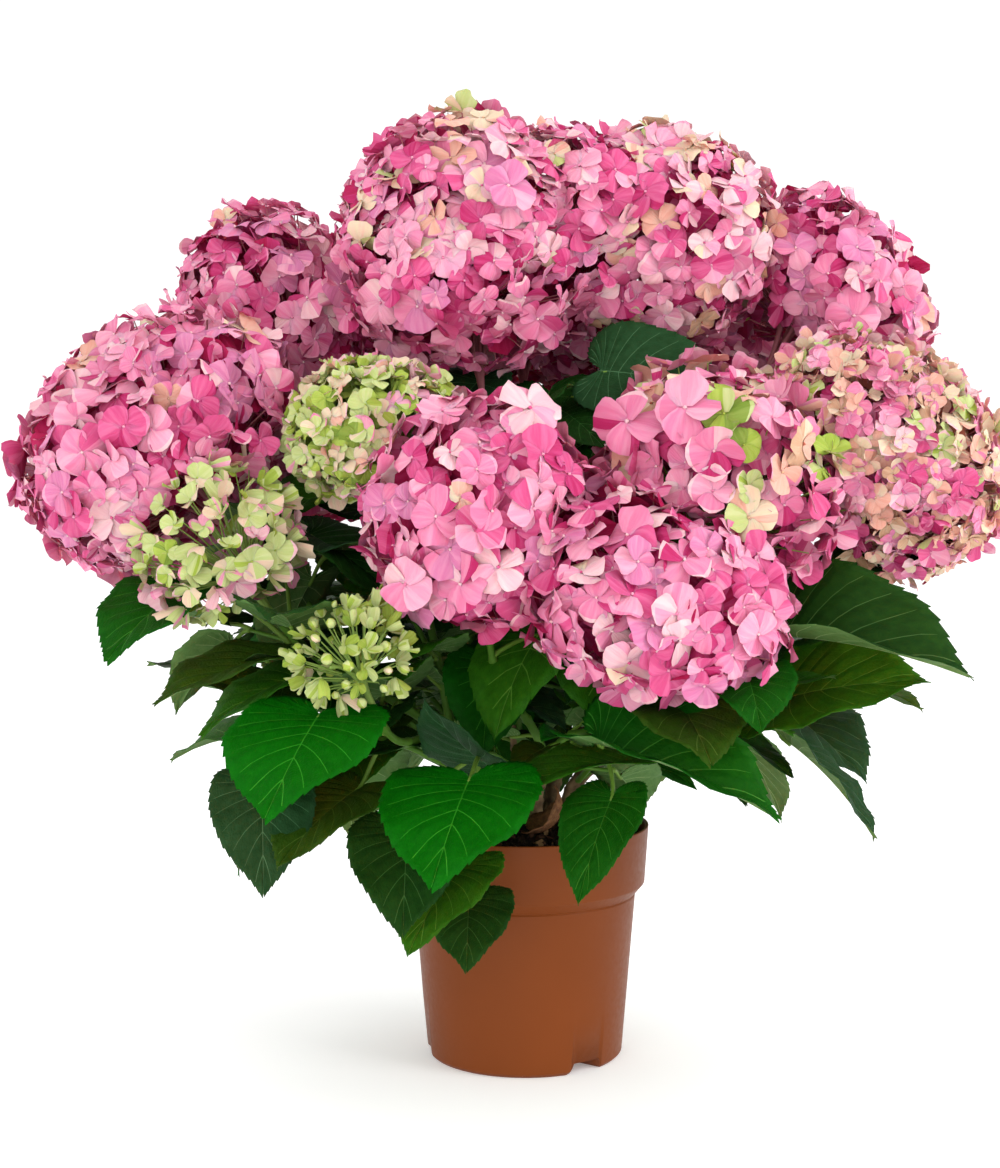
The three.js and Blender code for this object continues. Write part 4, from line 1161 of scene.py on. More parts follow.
HUNG = [  # azimuth, reach, height, heading, pitch, length, tint, mass
    (-100, 0.03, 0.512, -35, -32, 0.088, "dusk", "leaves_crown"),
    (40, 0.028, 0.508, -12, -40, 0.09, "deep", "leaves_crown"),
    (75, 0.055, 0.5, 24, -34, 0.085, "deep", "leaves_crown"),
    (-60, 0.06, 0.478, -60, -24, 0.08, "deep", "leaves_crown"),
    (8, 0.04, 0.45, -18, -38, 0.08, "dusk", "leaves_crown"),
    (6, 0.1, 0.335, -30, -30, 0.1, "fresh", "leaves_front"),
    (30, 0.1, 0.325, 12, -28, 0.1, "fresh", "leaves_front_middle"),
    (-14, 0.09, 0.3, -4, -34, 0.095, "lush", "leaves_front"),
    (-171, 0.101, 0.258, 0, -66, 0.085, "lush", "leaves_back_left_low"),
    (173, 0.105, 0.288, -8, -66, 0.09, "deep", "leaves_back_low"),
    (148, 0.118, 0.248, 10, -66, 0.082, "deep", "leaves_back_low"),
    (168, 0.136, 0.24, 0, -66, 0.085, "deep", "leaves_back_low"),
    (150, 0.13, 0.23, 150, -26, 0.085, "dusk", "leaves_back_low"),
    (-160, 0.14, 0.24, -120, -24, 0.085, "deep", "leaves_back_left_low"),
    (-178, 0.11, 0.3, 178, -16, 0.1, "deep", "leaves_back"),
    (150, 0.12, 0.31, 152, -16, 0.1, "deep", "leaves_back_right"),
    (165, 0.1, 0.275, 150, -10, 0.09, "deep", "leaves_back_low"),
    (-160, 0.1, 0.275, -150, -10, 0.09, "deep", "leaves_back_left_low"),
]
hung = [hang_leaf(place(*row[:3]), *row[3:]) for row in HUNG]
no_room = [row[:3] for row, done in zip(HUNG, hung) if not done]
print("leaves hung in set places:", sum(hung), "no room for:", no_room)


def heading_of(way):
    """The azimuth of a direction, in degrees: the angle of its x and -y."""
    return np.degrees(np.arctan2(way[0], -way[1]))


for mass, path in twig_paths.items():
    heading = TWIGS[mass][1][0]
    for turn, share in enumerate(FINE["twigs"]):
        node = bezier(*path, np.array([share]))[0]
        for side in (-1, 1):
            way = towards(heading + side * FINE["spread"]) + UP * grow_rng.uniform(-0.15, 0.35)
            end = node + unit(way) * FINE["side"] * grow_rng.uniform(0.7, 1.2)
            before = len(mass_leaves[mass])
            grow_pair(end, heading + side * FINE["spread"], -8, mass, turn % 2 == 0)
            if len(mass_leaves[mass]) > before:
                side_twigs[mass].append((node, end))
for path in shoots.values():
    for turn, share in enumerate(FINE["shoots"]):
        node, ahead = bezier(*path, np.array([share, share + 0.02]))
        grow_pair(node, heading_of(ahead - node), 4, nearest_mass(node), turn % 2 == 0)
for cane in CANES:
    for turn, node in enumerate(cane_path(cane, np.array(FINE["canes"]))):
        grow_pair(node, heading_of(node), 18, nearest_mass(node), turn % 2 == 0)
print("leaves in all:", len(leaf_nets), "side twigs:", sum(map(len, side_twigs.values())))

# %% Leaf finishes
LEAF_COLOURS = {  # upper face, its lighter cells, and the veins that show on it
    "vivid": ("025202", "055d03", "2c8c1c"),
    "lush": ("0a4505", "10520a", "357f24"),
    "fresh": ("1f5008", "2b610e", "58882f"),
    "deep": ("12330d", "193f11", "3c6730"),
    "dusk": ("1a3a1c", "224526", "49724c"),
    "olive": ("233f08", "2d4c0e", "4f6e26"),
}
FACE = {"by": "UV", "shine": 0.06, "glow": 0.13}
VEIN_FACE = {"by": "UV", "shine": 0.16, "glow": 0.13}
BACK = {"by": "UV", "shine": 0.15, "glow": 0.1}
leaf_finishes = []
for tint, (blade_colour, between, vein_colour) in LEAF_COLOURS.items():
    blade = finish("leaf_" + tint, blade_colour, (0.48, 0.62), 55, 0.0006, **FACE)
    leaf_finishes.append(marbled(blade, blade_colour, between, 16, 0.2, by="UV"))
    vein = finish("vein_" + tint, vein_colour, (0.5, 0.62), 60, 0.0002, **VEIN_FACE)
    leaf_finishes.append(marbled(vein, vein_colour, between, 6, 0.25, by="UV", middle=0.62))
under = finish("leaf_underside", "4c7038", (0.65, 0.8), 60, 0.0004, **BACK)
leaf_finishes.append(marbled(under, "456a32", "57793f", 14, 0.2, by="UV"))
leaf_finishes.append(finish("vein_underside", "86a067", (0.6, 0.75), 60, 0.0003, **BACK))
UNDER = 2 * len(LEAF_COLOURS)
print("leaf finishes:", len(leaf_finishes))

# %% Blades, twigs and leaf stalks as pieces
STALK = {"start": 0.0017, "tip": 0.0014, "rise": 0.5, "sunk": 0.006, "below": 0.0012}
STALK_NODES = (0.5, 0.75, 1.0)
SIDE_TWIG = {"start": 0.0018, "thinner": 0.0004, "bend": 0.012, "rise": 0.4}
leaf_rng = np.random.default_rng(5)
coarse = blade_template(9, 2, np.array([0.0, 0.3, 0.68, 1.0]))  # for the many small grown leaves
stalk_green = finish("leaf_stalk", "64862f", (0.45, 0.6), 300, 0.0002, **STEM)


def add_blade(bundle, leaf, shape):
    """One blade into the bundle: part 0 and 1 take the leaf's tint, 2 and 3 the underside."""
    part = shape[2]
    tint = 2 * list(LEAF_COLOURS).index(leaf["tint"])
    flats = np.stack([shape[0][0], shape[0][1]], axis=-1) + leaf_rng.uniform(0, 9, 2)
    slots = np.where(part < 2, tint + part, UNDER + part - 2)
    bundle.add(blade_points(leaf, shape, leaf_rng), shape[1], slots, flats)


def add_stalk(bundle, leaf, nodes):
    """A curved stalk from the leaf's own node, or the nearest, to a little way under the blade."""
    along = blade_axes(leaf["heading"], leaf["pitch"])[0]
    start = leaf.get("from")
    if start is None:
        start = nodes[np.linalg.norm(nodes - leaf["foot"], axis=1).argmin()]
    end = leaf["foot"] + along * STALK["sunk"] - UP * STALK["below"]
    third = np.linalg.norm(end - start) / 3
    leaving = unit(unit(end - start) + STALK["rise"] * UP)
    t = np.linspace(0, 1, 12)
    size = 0.75 + 3.2 * leaf["length"]  # a longer leaf has a stouter stalk
    taper = size * (STALK["start"] + (STALK["tip"] - STALK["start"]) * t)
    radii = taper * (1 + 0.5 * np.exp(-t / 0.08))
    bundle.add(*tube(bezier(start, leaving, third, end, along, third, t), radii, 8)[:2], 1)


for mass, leaves in mass_leaves.items():
    blades, sticks = Bundle(), Bundle()
    path = twig_paths[mass]
    nodes = bezier(*path, np.array(STALK_NODES))
    t = np.linspace(0, 1, 40)
    sticks.add(*tube(bezier(*path, t), swollen(t, TWIG, STALK_NODES), 10)[:2], 0)
    for start, end in side_twigs[mass]:
        t = np.linspace(0, 1, 14)
        way, bend = unit(end - start), SIDE_TWIG["bend"]
        stem = bezier(start, unit(way + SIDE_TWIG["rise"] * UP), bend, end, way, bend, t)
        sticks.add(*tube(stem, SIDE_TWIG["start"] - SIDE_TWIG["thinner"] * t, 8)[:2], 0)
    for leaf in leaves:
        add_blade(blades, leaf, coarse if "from" in leaf else template)
        add_stalk(sticks, leaf, nodes)
    make_piece(mass.replace("leaves", "blades"), blades, leaf_finishes, "leaf", [mass])
    make_piece(mass.replace("leaves", "twigs"), sticks, [young_stem, stalk_green], "green_stem", [mass])
print("leaf pieces:", len(mass_leaves), "blades:", sum(map(len, mass_leaves.values())))

# %% The fallen leaf
DRY = {"foot": place(4, 0.066, 0.1825), "heading": 80, "pitch": 2, "length": 0.052, "roll": 12}
DRY |= {"curl": -125, "fold": 26}

dry_colour = finish("dry_leaf", "5a3a22", (0.7, 0.9), 30, 0.0012, by="UV", shine=0.2)
marbled(dry_colour, "4c2f1b", "7c5433", 12, 0.2, by="UV")
fallen = Bundle()
flats = np.stack([coarse[0][0], coarse[0][1]], axis=-1)
fallen.add(blade_points(DRY, coarse, leaf_rng), coarse[1], 0, flats)
dry_leaf = make_piece("fallen_leaf", fallen, [dry_colour], "bark")
print("fallen leaf between heights", [round(corner[2], 3) for corner in dry_leaf.bound_box[:2]])

# %% [markdown]
# ## One floret
#
# What looks like a flower is four broad sepals round a bead of a bud. They overlap, cup a little,
# crease down the middle, roll at the edges and are streaked: one side is deep rose, the other pale.
# A bloom has over a hundred, so a floret has few faces: each sepal is a grid of four by four, whose
# rows follow arcs so that the tip is round. A streak takes whole columns of the grid, which makes
# it run from the heart to the tip as the veins do. Some thirty florets are shaped with different
# cups, waves and streaks, and the blooms deal them out, turned at random. Deep inside a bloom,
# where only colour shows, florets of four faces a sepal do.

# %% Sepals
FULL = (np.array([0.04, 0.3, 0.6, 0.85, 1.0]), np.array([-1, -0.5, 0, 0.5, 1.0]))
PLAIN = (np.array([0.1, 0.6, 1.0]), np.array([-1, 0, 1.0]))
BASE, DEEP, PALE, EDGE, BEAD = range(5)
# A sepal's streaks by one throw of chance: below the first number one half is deep, below the next
# one column is, then all of it, then one half is pale, then all of it. Above the last it is plain.
HALF_DEEP, LINE_DEEP, ALL_DEEP, HALF_PALE, ALL_PALE = 0.12, 0.28, 0.34, 0.48, 0.6
LIGHT_TIP = 0.25  # the chance of a light tip


def sepal(grid, width, cup, curl, crease, wave, phase, roll):
    """A round sepal of reach 1: arcs of points along it, cupped up, curled back, creased and rolled.

    x = s (1 - 0.26 t^2 s) and y = t * width * sin(pi (0.06 + 0.6 s))^0.8 give the outline, and
    z = cup s^1.5 - curl s^3 + crease |t| s + wave s^2 sin(3.4 t + phase) gives the form.
    """
    s, t = np.meshgrid(*grid, indexing="ij")
    x = s * (1 - 0.26 * t**2 * s)
    y = t * width * np.sin(np.pi * (0.06 + 0.6 * s)) ** 0.8
    z = cup * s**1.5 - curl * s**3 + crease * np.abs(t) * s + wave * s**2 * np.sin(3.4 * t + phase)
    y, z = y * np.cos(roll) - z * np.sin(roll), y * np.sin(roll) + z * np.cos(roll)
    return np.stack([x, y, z], axis=-1)


def streaks(random, rows, columns):
    """The part of each of a sepal's faces: a base, with whole columns deep or pale, or a light tip."""
    parts = np.full((rows, columns), BASE)
    chance = random.uniform()
    if chance < HALF_DEEP:
        parts[:, columns // 2 :] = DEEP
    elif chance < LINE_DEEP:
        parts[:, random.integers(0, columns)] = DEEP
    elif chance < ALL_DEEP:
        parts[:] = DEEP
    elif chance < HALF_PALE:
        parts[:, : columns // 2] = PALE
    elif chance < ALL_PALE:
        parts[:] = PALE
    if random.uniform() < LIGHT_TIP:
        parts[-1] = EDGE
    return parts.ravel()


# The bead in the middle of a floret is an octahedron: four corners round it, one above, one below.
BEAD_POINTS = np.array([(1, 0, 0), (0, 1, 0), (-1, 0, 0), (0, -1, 0), (0, 0, 1.2), (0, 0, -1.2)])
BEAD_POINTS = 0.075 * BEAD_POINTS + 0.05 * UP
AROUND_BEAD = [(i, (i + 1) % 4) for i in range(4)]
BEAD_FACES = [(a, b, 4, -1) for a, b in AROUND_BEAD] + [(b, a, 5, -1) for a, b in AROUND_BEAD]
BEAD_FACES = np.array(BEAD_FACES)


def gathered(shape):
    """A bundle's points, faces, parts and flat places as four arrays."""
    return [np.concatenate(a) for a in (shape.points, shape.faces, shape.slots, shape.flats)]


def floret_shape(random, cups=(-0.2, 0.34), width=(0.52, 0.66), grid=FULL):
    """Points, faces, parts and flat places of one floret of reach 1, facing +Z."""
    shape = Bundle()
    rows, columns = len(grid[0]), len(grid[1])
    spin, every = random.uniform(0, 6), grid_faces(rows, columns)
    swirl = random.choice([-1, 1]) * random.uniform(0.08, 0.32)  # all four sepals tilt the same way
    flat = np.stack(np.meshgrid(grid[1], grid[0]), axis=-1)
    for number in range(4):
        points = sepal(
            grid, random.uniform(*width), random.uniform(*cups), random.uniform(-0.12, 0.3),
            random.uniform(-0.16, 0.2), random.uniform(0.05, 0.16), random.uniform(0, 6),
            swirl + random.uniform(-0.2, 0.2),
        )
        points = points * random.uniform(0.82, 1.1) + (0, 0, 0.035 * (number % 2))
        angle = spin + number * np.pi / 2 + random.uniform(-0.14, 0.14)
        points = turned_about(points, UP, angle)
        shape.add(points, every, streaks(random, rows - 1, columns - 1), flat + (4 * number, 0))
    if grid is FULL:
        shape.add(BEAD_POINTS, BEAD_FACES, BEAD)
    return gathered(shape)


def bud_shape(random):
    """An unopened floret: an egg on +Z, whose rings' radius follows sin(pi t)^0.7."""
    t = np.array([0.08, 0.36, 0.66, 0.92])
    fat = random.uniform(0.3, 0.48)
    points, faces, flats = tube(np.outer(t, 0.9 * UP), fat * np.sin(np.pi * t) ** 0.7, 6)
    shape = Bundle()
    shape.add(points, faces, np.where(np.arange(len(faces)) % 3 == 0, PALE, BASE), flats)
    return gathered(shape)


shape_rng = np.random.default_rng(77)
open_florets = [floret_shape(shape_rng) for _ in range(32)]
cupped_florets = [floret_shape(shape_rng, cups=(0.25, 0.75)) for _ in range(14)]
closed_florets = [floret_shape(shape_rng, cups=(1.0, 1.6), width=(0.42, 0.5)) for _ in range(6)]
plain_florets = [floret_shape(shape_rng, cups=(-0.1, 0.4), grid=PLAIN) for _ in range(12)]
buds = [bud_shape(shape_rng) for _ in range(8)]
print("faces of a floret:", len(open_florets[0][1]), "of an inner one:", len(plain_florets[0][1]))

# %% [markdown]
# ## The colours of a bloom
#
# Hydrangea sepals open lime green, flush from the edge inwards, turn pink and then rose, and fade
# to cream and tan where the sun has been on them. Each floret is dealt one recipe: which of the
# petal finishes its base, its deep streaks, its pale side and its edge take. A bloom's kind says
# how likely each recipe is, low down and at the top, and a slow wave over the bloom gathers the
# faded ones into patches. The pale recipes at the top are partly a painted highlight from the light
# above, and the deeper ones low down partly a painted shade under the bloom. These are plain
# colours, one finish for each. Within a finish a noise that is long down the sepal and narrow
# across it lets fine rays of a near colour through.

# %% Petal finishes and recipes
# The darkest petal finish is dealt only to florets deep inside the blooms, as painted shade.
PETALS = {  # the sepal's colour, and its rays
    "crimson": ("a70f49", "b3265b"), "magenta": ("b3245f", "c24077"), "rose": ("c84a7d", "d36691"),
    "orchid": ("ca729c", "d58aab"), "pink": ("d9759a", "de8ca9"), "shell": ("e090ab", "e6a4b8"),
    "blush": ("e2acb6", "e7bfc1"), "cream": ("dcc8a9", "e2bfa9"), "peach": ("dea391", "e1b09e"),
    "tan": ("c69b7d", "cfaa8d"), "russet": ("944f3f", "a76452"), "lime": ("9aae43", "a9b956"),
    "celery": ("b8c37b", "c4ca8f"), "leafgreen": ("7a9336", "8b9f47"),
}
petal_finishes = []
for name, (code, ray) in PETALS.items():
    glow = 0.5 if name in ("crimson", "russet") else 0.42  # light filters in through the thin sepals
    crepe = finish("petal_" + name, code, (0.55, 0.75), 2.6, 0.0006, (2.4, 0.4, 1), "UV", 0.18, glow)
    petal_finishes.append(marbled(crepe, code, ray, 1.0, 0.12, "UV", (2.6, 0.5, 1), 0.52))
NUMBER = {name: number for number, name in enumerate(PETALS)}
RECIPES = {  # base, deep, pale, edge, bead
    "crimson": ("crimson", "magenta", "magenta", "rose", "rose"),
    "magenta": ("rose", "magenta", "pink", "pink", "shell"),
    "rose": ("rose", "magenta", "shell", "pink", "shell"),
    "pink": ("pink", "rose", "shell", "shell", "blush"),
    "striped": ("pink", "magenta", "blush", "blush", "blush"),
    "orchid": ("orchid", "pink", "shell", "shell", "blush"),
    "shell": ("shell", "pink", "blush", "blush", "pink"),
    "white": ("blush", "rose", "shell", "shell", "rose"),
    "blush": ("blush", "shell", "cream", "shell", "rose"),
    "peach": ("peach", "pink", "cream", "shell", "tan"),
    "cream": ("cream", "peach", "celery", "blush", "tan"),
    "tan": ("tan", "peach", "cream", "shell", "russet"),
    "russet": ("russet", "rose", "tan", "peach", "tan"),
    "lime": ("lime", "leafgreen", "celery", "celery", "lime"),
    "celery": ("celery", "lime", "cream", "blush", "lime"),
    "flushed": ("celery", "shell", "cream", "pink", "lime"),
    "green": ("celery", "lime", "lime", "celery", "lime"),
    "shade": ("leafgreen", "lime", "lime", "celery", "lime"),
}
PARTS = np.array([[NUMBER[colour] for colour in recipe] for recipe in RECIPES.values()])
# Deep inside a bloom the florets take darker recipes than the outer ones: painted shade in the bloom's
# depths.
INNER_PAINTED_SHADE = {"aged": "russet", "mixed": "rose", "lime": "shade"}  # the recipe deep inside, or crimson


def shares(text):
    """Recipes and their weights, told in turn, as chances: each weight over the sum of them all."""
    words = text.split()
    weights = dict(zip(words[::2], map(float, words[1::2])))
    row = np.array([weights.get(name, 0.0) for name in RECIPES])
    return row / row.sum()


KINDS = {  # recipes low down, recipes at the top, a floret's reach in mm, crowding, lowest, shape
    "rose_top": (
        shares("magenta 3 rose 7 orchid 4 pink 6 striped 5 shell 1.5"),
        shares("rose .6 pink 3 striped 2 shell 6 blush 7 white 4 peach 4 cream 3.4 tan .3"),
        15.5, 1.95, -0.95, "open"),
    "faded": (
        shares("rose 3 pink 6 striped 3 shell 4 blush 2 peach 3 tan .5"),
        shares("pink 3 striped 2 shell 5 blush 6 white 3 peach 5 cream 4 celery .6"),
        15.5, 1.95, -0.95, "open"),
    "rose": (
        shares("magenta 2 rose 5 orchid 5 pink 7 striped 3 shell 3"),
        shares("rose 3 pink 7 orchid 3 striped 2 shell 6 white 1.5 blush 1 peach 1"),
        16.5, 1.8, -0.85, "open"),
    "bright": (
        shares("magenta 1.4 rose 8 orchid 4 pink 7 striped 4 shell 1 tan .4"),
        shares("rose 6 orchid 2 pink 7 striped 4 shell 3 white 1.2 blush .8 peach .6"),
        17.0, 1.8, -0.85, "open"),
    "aged": (
        shares("rose 2 pink 4 shell 2 peach 5 tan 2 cream 2"),
        shares("rose .6 pink 1.2 shell 1.5 blush 2.5 peach 5 cream 5 tan 2 celery 2.4"),
        10.8, 2.2, -0.85, "mixed"),
    "mixed": (
        shares("pink 6 striped 3 shell 2 peach 3 rose 3"),
        shares("pink 5 striped 3 shell 1 peach 4 cream 4 celery 3 tan 1.6 lime 2"),
        17.5, 1.6, -0.85, "mixed"),
    "lime": (
        shares("celery 3 flushed 3 blush 2 cream 2 lime 1"),
        shares("lime 4 celery 5 flushed 3 cream 2"), 10.0, 2.0, -0.8, "mixed"),
    "young": (
        shares("flushed 5 celery 4 blush 2 lime .6"),
        shares("celery 4 lime 3 flushed 4"), 10.8, 1.05, -0.75, "cupped"),
    "bud": (shares("green 3 celery 1"), shares("green 2 lime 2"), 9.2, 1.3, -0.72, "buds"),
}
print("petal finishes:", len(petal_finishes), "recipes:", len(RECIPES))

# %% [markdown]
# ## Filling a dome
#
# A golden-angle spiral spreads spots evenly over a dome without rows. A bloom isn't a ball: its side
# clusters bulge and leave hollows, which slow waves over the dome give. Each spot gets a floret that
# faces outwards, tipped and sunk a little at random. Where two domes press together a spot
# belongs to the one whose surface it is nearer to, so the blooms meet in a crease as real ones do.
# Under the outer florets lies a second, smaller layer in deeper colours, which are painted shade in
# the depths of the bloom, and every outer floret stands on a stalk that runs down to a fork inside
# the bloom. The blooms at the top have grown into one broad crown, so smaller domes of florets fill
# the dips between them. A few florets of the largest size stand out beyond the rest and are set
# one by one.

# %% Spots and stalks
GOLDEN = np.pi * (3 - np.sqrt(5))
LUMP = 0.11  # how far the side clusters bulge, as a share of the dome
PATCH_PACE = 75  # radians a metre of the wave that gathers faded florets
bloom_rng = np.random.default_rng(2024)
FILLERS = {
    "top_left": [Dome("cane_middle", 72, 0.032, 0.637, 0.074, 0.073, "rose_top")],
    "back_top": [Dome("cane_back_left", 146, 0.1, 0.582, 0.07, 0.068, "rose_top")],
}
crown = [*domes.values(), *FILLERS["top_left"], *FILLERS["back_top"]]
SHOWN = {  # single large florets that stand proud: way out from the bloom's middle, reach, recipe
    "front_left": [((0.42, -0.42, 0.8), 0.022, "blush"), ((-0.5, -0.7, -0.5), 0.019, "shell")],
    "middle_right": [((-0.78, -0.5, 0.4), 0.028, "striped"), ((-0.4, -0.75, 0.52), 0.024, "pink")],
    "top_left": [((0.3, -0.9, 0.3), 0.021, "orchid")],
    "upper_right": [((0.1, -0.9, -0.25), 0.021, "pink")],
}


def dome_spots(dome, reach, crowding, lowest, size):
    """Spiral spots: level falls evenly from 1 to the lowest and the turn grows by the golden angle."""
    area = 4 * np.pi * dome.across * np.sqrt(dome.across * dome.deep) * size**2 * (1 - lowest) / 2
    count = int(crowding * area / (np.pi * reach**2))
    i = np.arange(count)
    level = 1 - (i + 0.5) / count * (1 - lowest)
    ring, turn = np.sqrt(1 - level**2), i * GOLDEN + bloom_rng.uniform(0, 6)
    ball = np.stack([ring * np.cos(turn), ring * np.sin(turn), level], axis=-1)
    ball = unit(ball + bloom_rng.normal(0, 0.35 / np.sqrt(count), ball.shape))
    depth = size * bloom_rng.uniform(0.9, 1.02, (count, 1)) * lumps(ball)
    spots = dome.middle + (ball * dome.halves * depth) @ dome.axes
    outward = unit((ball / dome.halves) @ dome.axes)
    return spots, outward, ball[:, 2]


def lumps(ball):
    """How far a dome bulges where its side clusters push it out: 1 + the mean of slow waves over it."""
    ways = unit(bloom_rng.normal(size=(5, 3))) * bloom_rng.uniform(3, 6.5, (5, 1))
    return 1 + LUMP * np.sin(ball @ ways.T + bloom_rng.uniform(0, 6, 5)).mean(axis=1, keepdims=True)


def belongs(dome, spots):
    """True where no other dome's surface lies nearer: every other level is above this one's."""
    own = dome.level_of(spots)
    others = [other.level_of(spots) for other in crown if other is not dome]
    return np.min(others, axis=0) > np.maximum(own, 0.9) - 0.02


def own_spots(dome, *layer):
    """The spots of a layer that belong to this dome, with their outward directions and levels."""
    spots, outward, level = dome_spots(dome, *layer)
    keep = belongs(dome, spots)
    return spots[keep], outward[keep], level[keep]


def frames_facing(outward, tip):
    """Three directions for each floret: the outward one tipped at random, and two turned round it."""
    facing = unit(outward + bloom_rng.normal(0, tip, outward.shape))
    first = unit(np.cross(facing, bloom_rng.normal(size=facing.shape)))
    return np.stack([first, np.cross(facing, first), facing], axis=1)


def dealt(kind, level, spots):
    """A recipe for each floret, by chances that shift from the low ones to the top ones.

    The share of the top ones is 0.3 + 0.75 level + 0.35 sin(a wave over the bloom), from 0 to 1.
    """
    low, top = KINDS[kind][:2]
    patch = np.sin(spots @ unit(bloom_rng.normal(size=3)) * PATCH_PACE + bloom_rng.uniform(0, 6))
    # High on a bloom the chances lean to pale recipes and low down to deep ones: partly painted highlight
    # on top, painted shade underneath.
    share = np.clip(0.3 + 0.75 * level + 0.35 * patch, 0, 1)[:, None]
    up_to = np.cumsum((1 - share) * low + share * top, axis=1)
    passed = (bloom_rng.uniform(size=(len(spots), 1)) > up_to).sum(axis=1)
    return passed.clip(0, len(RECIPES) - 1)


def deal_florets(bundle, shapes, spots, frames, reach, recipes):
    """Places the shapes in turn: every floret that shares a shape is placed in one multiplication."""
    choice = bloom_rng.integers(0, len(shapes), len(spots))
    for number, (points, faces, parts, flats) in enumerate(shapes):
        chosen = np.flatnonzero(choice == number)
        if not len(chosen):
            continue
        placed = np.einsum("pi,nij->npj", points, frames[chosen]) * reach[chosen, None, None]
        placed += spots[chosen, None]
        step = len(points) * np.arange(len(chosen))[:, None, None]
        joined = np.where(faces[None] >= 0, faces[None] + step, -1).reshape(-1, 4)
        slots = PARTS[recipes[chosen]][:, parts].ravel()
        aside = 16 * np.repeat(np.arange(len(chosen)), len(points))[:, None] * (1, 0)
        bundle.add(placed, joined, slots, np.tile(flats, (len(chosen), 1)) + aside)


FORK = {"out": 0.34, "down": 0.3}  # shares of the dome's half width, and of the way to its neck
RAY_RINGS, RAY_BOW = 5, 0.12
QUARTER_TURN = np.array([[0, 1, 0], [-1, 0, 0], [0, 0, 0]])  # a level turn by 90 degrees


def add_rays(bundle, ends, dome, thickness, sides=4):
    """Flower stalks from forks inside the dome to each floret, all rings in one array.

    Each is a straight line, bowed aside by sin(pi t), whose rings shrink from 1.25 to 0.75.
    """
    forks = dome.middle + (FORK["out"] * dome.across) * unit(ends - dome.middle)
    forks += (dome.neck - dome.middle) * FORK["down"]
    t = np.linspace(0, 1, RAY_RINGS)[None, :, None]
    bow = RAY_BOW * (ends - forks) @ QUARTER_TURN * bloom_rng.uniform(-1, 1, (len(ends), 1))
    path = forks[:, None] * (1 - t) + ends[:, None] * t + bow[:, None] * np.sin(np.pi * t)
    along = unit(ends - forks)
    first = unit(np.cross(along, UP + 0.01))
    second = np.cross(along, first)
    angle = np.arange(sides) * 2 * np.pi / sides
    ring = first[:, None] * np.cos(angle)[:, None] + second[:, None] * np.sin(angle)[:, None]
    points = path[:, :, None] + thickness * (1.25 - 0.5 * t[..., None]) * ring[:, None]
    faces = grid_faces(RAY_RINGS, sides, wrapped=True)
    joined = faces[None] + RAY_RINGS * sides * np.arange(len(ends))[:, None, None]
    bundle.add(points, joined.reshape(-1, 4))


def add_branches(bundle, dome, count=7):
    """The bloom's own main branches, from its neck out to a ring of forks, and one up its middle."""
    t = np.linspace(0, 1, 9)
    for turn in np.arange(count) * 2 * np.pi / count:
        side = np.cos(turn) * dome.axes[0] + np.sin(turn) * dome.axes[1]
        end = dome.middle + side * 0.5 * dome.across + dome.axis * 0.1 * dome.deep
        arriving = unit(side + 0.5 * dome.axis)
        path = bezier(dome.neck, dome.axis, 0.35 * dome.deep, end, arriving, 0.02, t)
        bundle.add(*tube(path, 0.0019 - 0.0007 * t, 6)[:2])
    path = dome.neck + np.outer(t, dome.axis) * dome.deep
    bundle.add(*tube(path, 0.0026 - 0.0008 * t, 8)[:2])


print("spots on the largest dome:", len(dome_spots(domes["left"], 0.017, 1.7, -0.8, 1.0)[0]))

# %% The blooms
pedicel = finish("flower_stalk", "86a24e", (0.5, 0.65), 300, 0.0001, **STEM)
pedicel_pink = finish("flower_stalk_pink", "b06a70", (0.5, 0.65), 300, 0.0001, **STEM)
SHAPES = {
    "open": open_florets, "mixed": open_florets[:12] + cupped_florets,
    "cupped": cupped_florets + closed_florets[:3], "buds": buds[:6] + closed_florets,
}
OUTER = {"tip": 0.36, "sizes": (0.72, 1.2), "sunk": 0.001, "stalk": 0.0006}
LAYER = {"size": 0.84, "crowding": 1.4, "reach": 1.25, "tip": 0.4, "sizes": (0.8, 1.15)}
OPEN_KINDS = ("young", "bud")  # loose blooms with no inner layer
GREEN_STALKS = ("lime", "young", "bud", "mixed")
PETAL_SLOTS = {"aged": "blush_petal"} | dict.fromkeys(("lime", "young", "bud"), "lime_petal")
PROUD = 1.04  # how far out the single large florets stand, as a share of the dome


def show_florets(petals, stalks, dome, shown):
    """Single florets a little proud of the dome, that face halfway between out and the front."""
    for way, reach, recipe in shown:
        outward = unit(np.array(way))
        spot = dome.middle + outward * PROUD / dome.level_of(dome.middle + outward)
        facing = unit(outward + 0.7 * towards(0) + 0.2 * UP)
        side = unit(np.cross(facing, UP))
        frame_of = np.stack([side, np.cross(facing, side), facing])[None]
        recipes = np.array([list(RECIPES).index(recipe)])
        deal_florets(petals, open_florets, spot[None], frame_of, np.array([reach]), recipes)
        add_rays(stalks, spot[None] - OUTER["sunk"] * facing, dome, 0.0007)


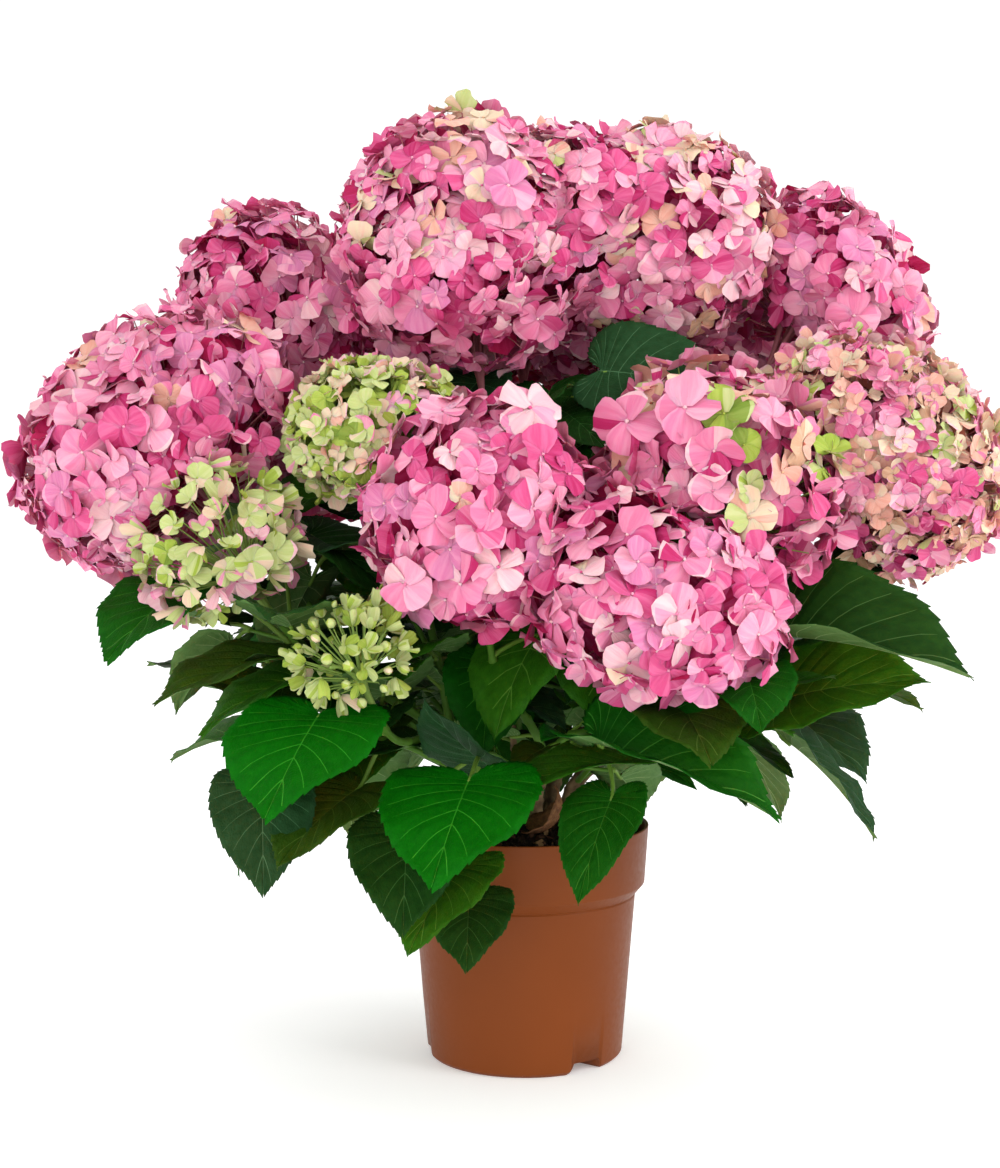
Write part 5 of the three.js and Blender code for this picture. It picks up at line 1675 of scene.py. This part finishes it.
def fill_dome(petals, stalks, dome):
    """The outer florets of a dome with their stalks, and a plainer layer inside them whose deeper colours
    are painted shade.
    """
    reach_mm, crowding, lowest, shape = KINDS[dome.kind][2:]
    reach = reach_mm / 1000
    shrunk = 1 - 0.25 * reach / dome.across
    spots, outward, level = own_spots(dome, reach, crowding, lowest, shrunk)
    sizes = reach * bloom_rng.uniform(*OUTER["sizes"], len(spots))
    recipes = dealt(dome.kind, level, spots)
    deal_florets(petals, SHAPES[shape], spots, frames_facing(outward, OUTER["tip"]), sizes, recipes)
    add_rays(stalks, spots - outward * OUTER["sunk"], dome, OUTER["stalk"])
    if dome.kind in OPEN_KINDS:
        return len(spots)
    reach, shrunk = reach * LAYER["reach"], LAYER["size"] * shrunk
    inside, outward, _ = own_spots(dome, reach, LAYER["crowding"], lowest, shrunk)
    sizes = reach * bloom_rng.uniform(*LAYER["sizes"], len(inside))
    # The inner layer's darker recipe paints the shade deep in the bloom.
    recipes = np.full(len(inside), list(RECIPES).index(INNER_PAINTED_SHADE.get(dome.kind, "crimson")))
    deal_florets(petals, plain_florets, inside, frames_facing(outward, LAYER["tip"]), sizes, recipes)
    return len(spots) + len(inside)


floret_count = 0
for name, dome in domes.items():
    petals, stalks = Bundle(), Bundle()
    for part in [dome, *FILLERS.get(name, [])]:
        floret_count += fill_dome(petals, stalks, part)
    show_florets(petals, stalks, dome, SHOWN.get(name, []))
    add_branches(stalks, dome)
    node, slot = "bloom_" + name, PETAL_SLOTS.get(dome.kind, "pink_petal")
    make_piece("petals_" + name, petals, petal_finishes, slot, [node])
    stalk_finish = pedicel if dome.kind in GREEN_STALKS else pedicel_pink
    make_piece("flower_stalks_" + name, stalks, [stalk_finish], "green_stem", [node])
print("florets:", floret_count)

# %% [markdown]
# ## The last things
#
# The floor is only a stage: white paper, lit a little from below as on a light table, so that the
# plant's shadow stays faint.

# %% Floor
FLOOR_HALF = 6.0  # half its side, in metres
FLOOR_GLOW = 0.22

square = np.array([(-1, -1, 0), (1, -1, 0), (-1, 1, 0), (1, 1, 0)]) * FLOOR_HALF
ground = Bundle()
ground.add(square, np.array([(0, 1, 3, 2)]))
paper = finish("matt_white_floor", "f6f6f6", (0.85, 0.95), 5, 0.0001, shine=0.1)
shader = paper.node_tree.nodes["Principled BSDF"]
shader.inputs["Emission Color"].default_value = (1, 1, 1, 1)
shader.inputs["Emission Strength"].default_value = FLOOR_GLOW
floor = make_piece("studio_floor", ground, [paper], "compost")
del floor["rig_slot"]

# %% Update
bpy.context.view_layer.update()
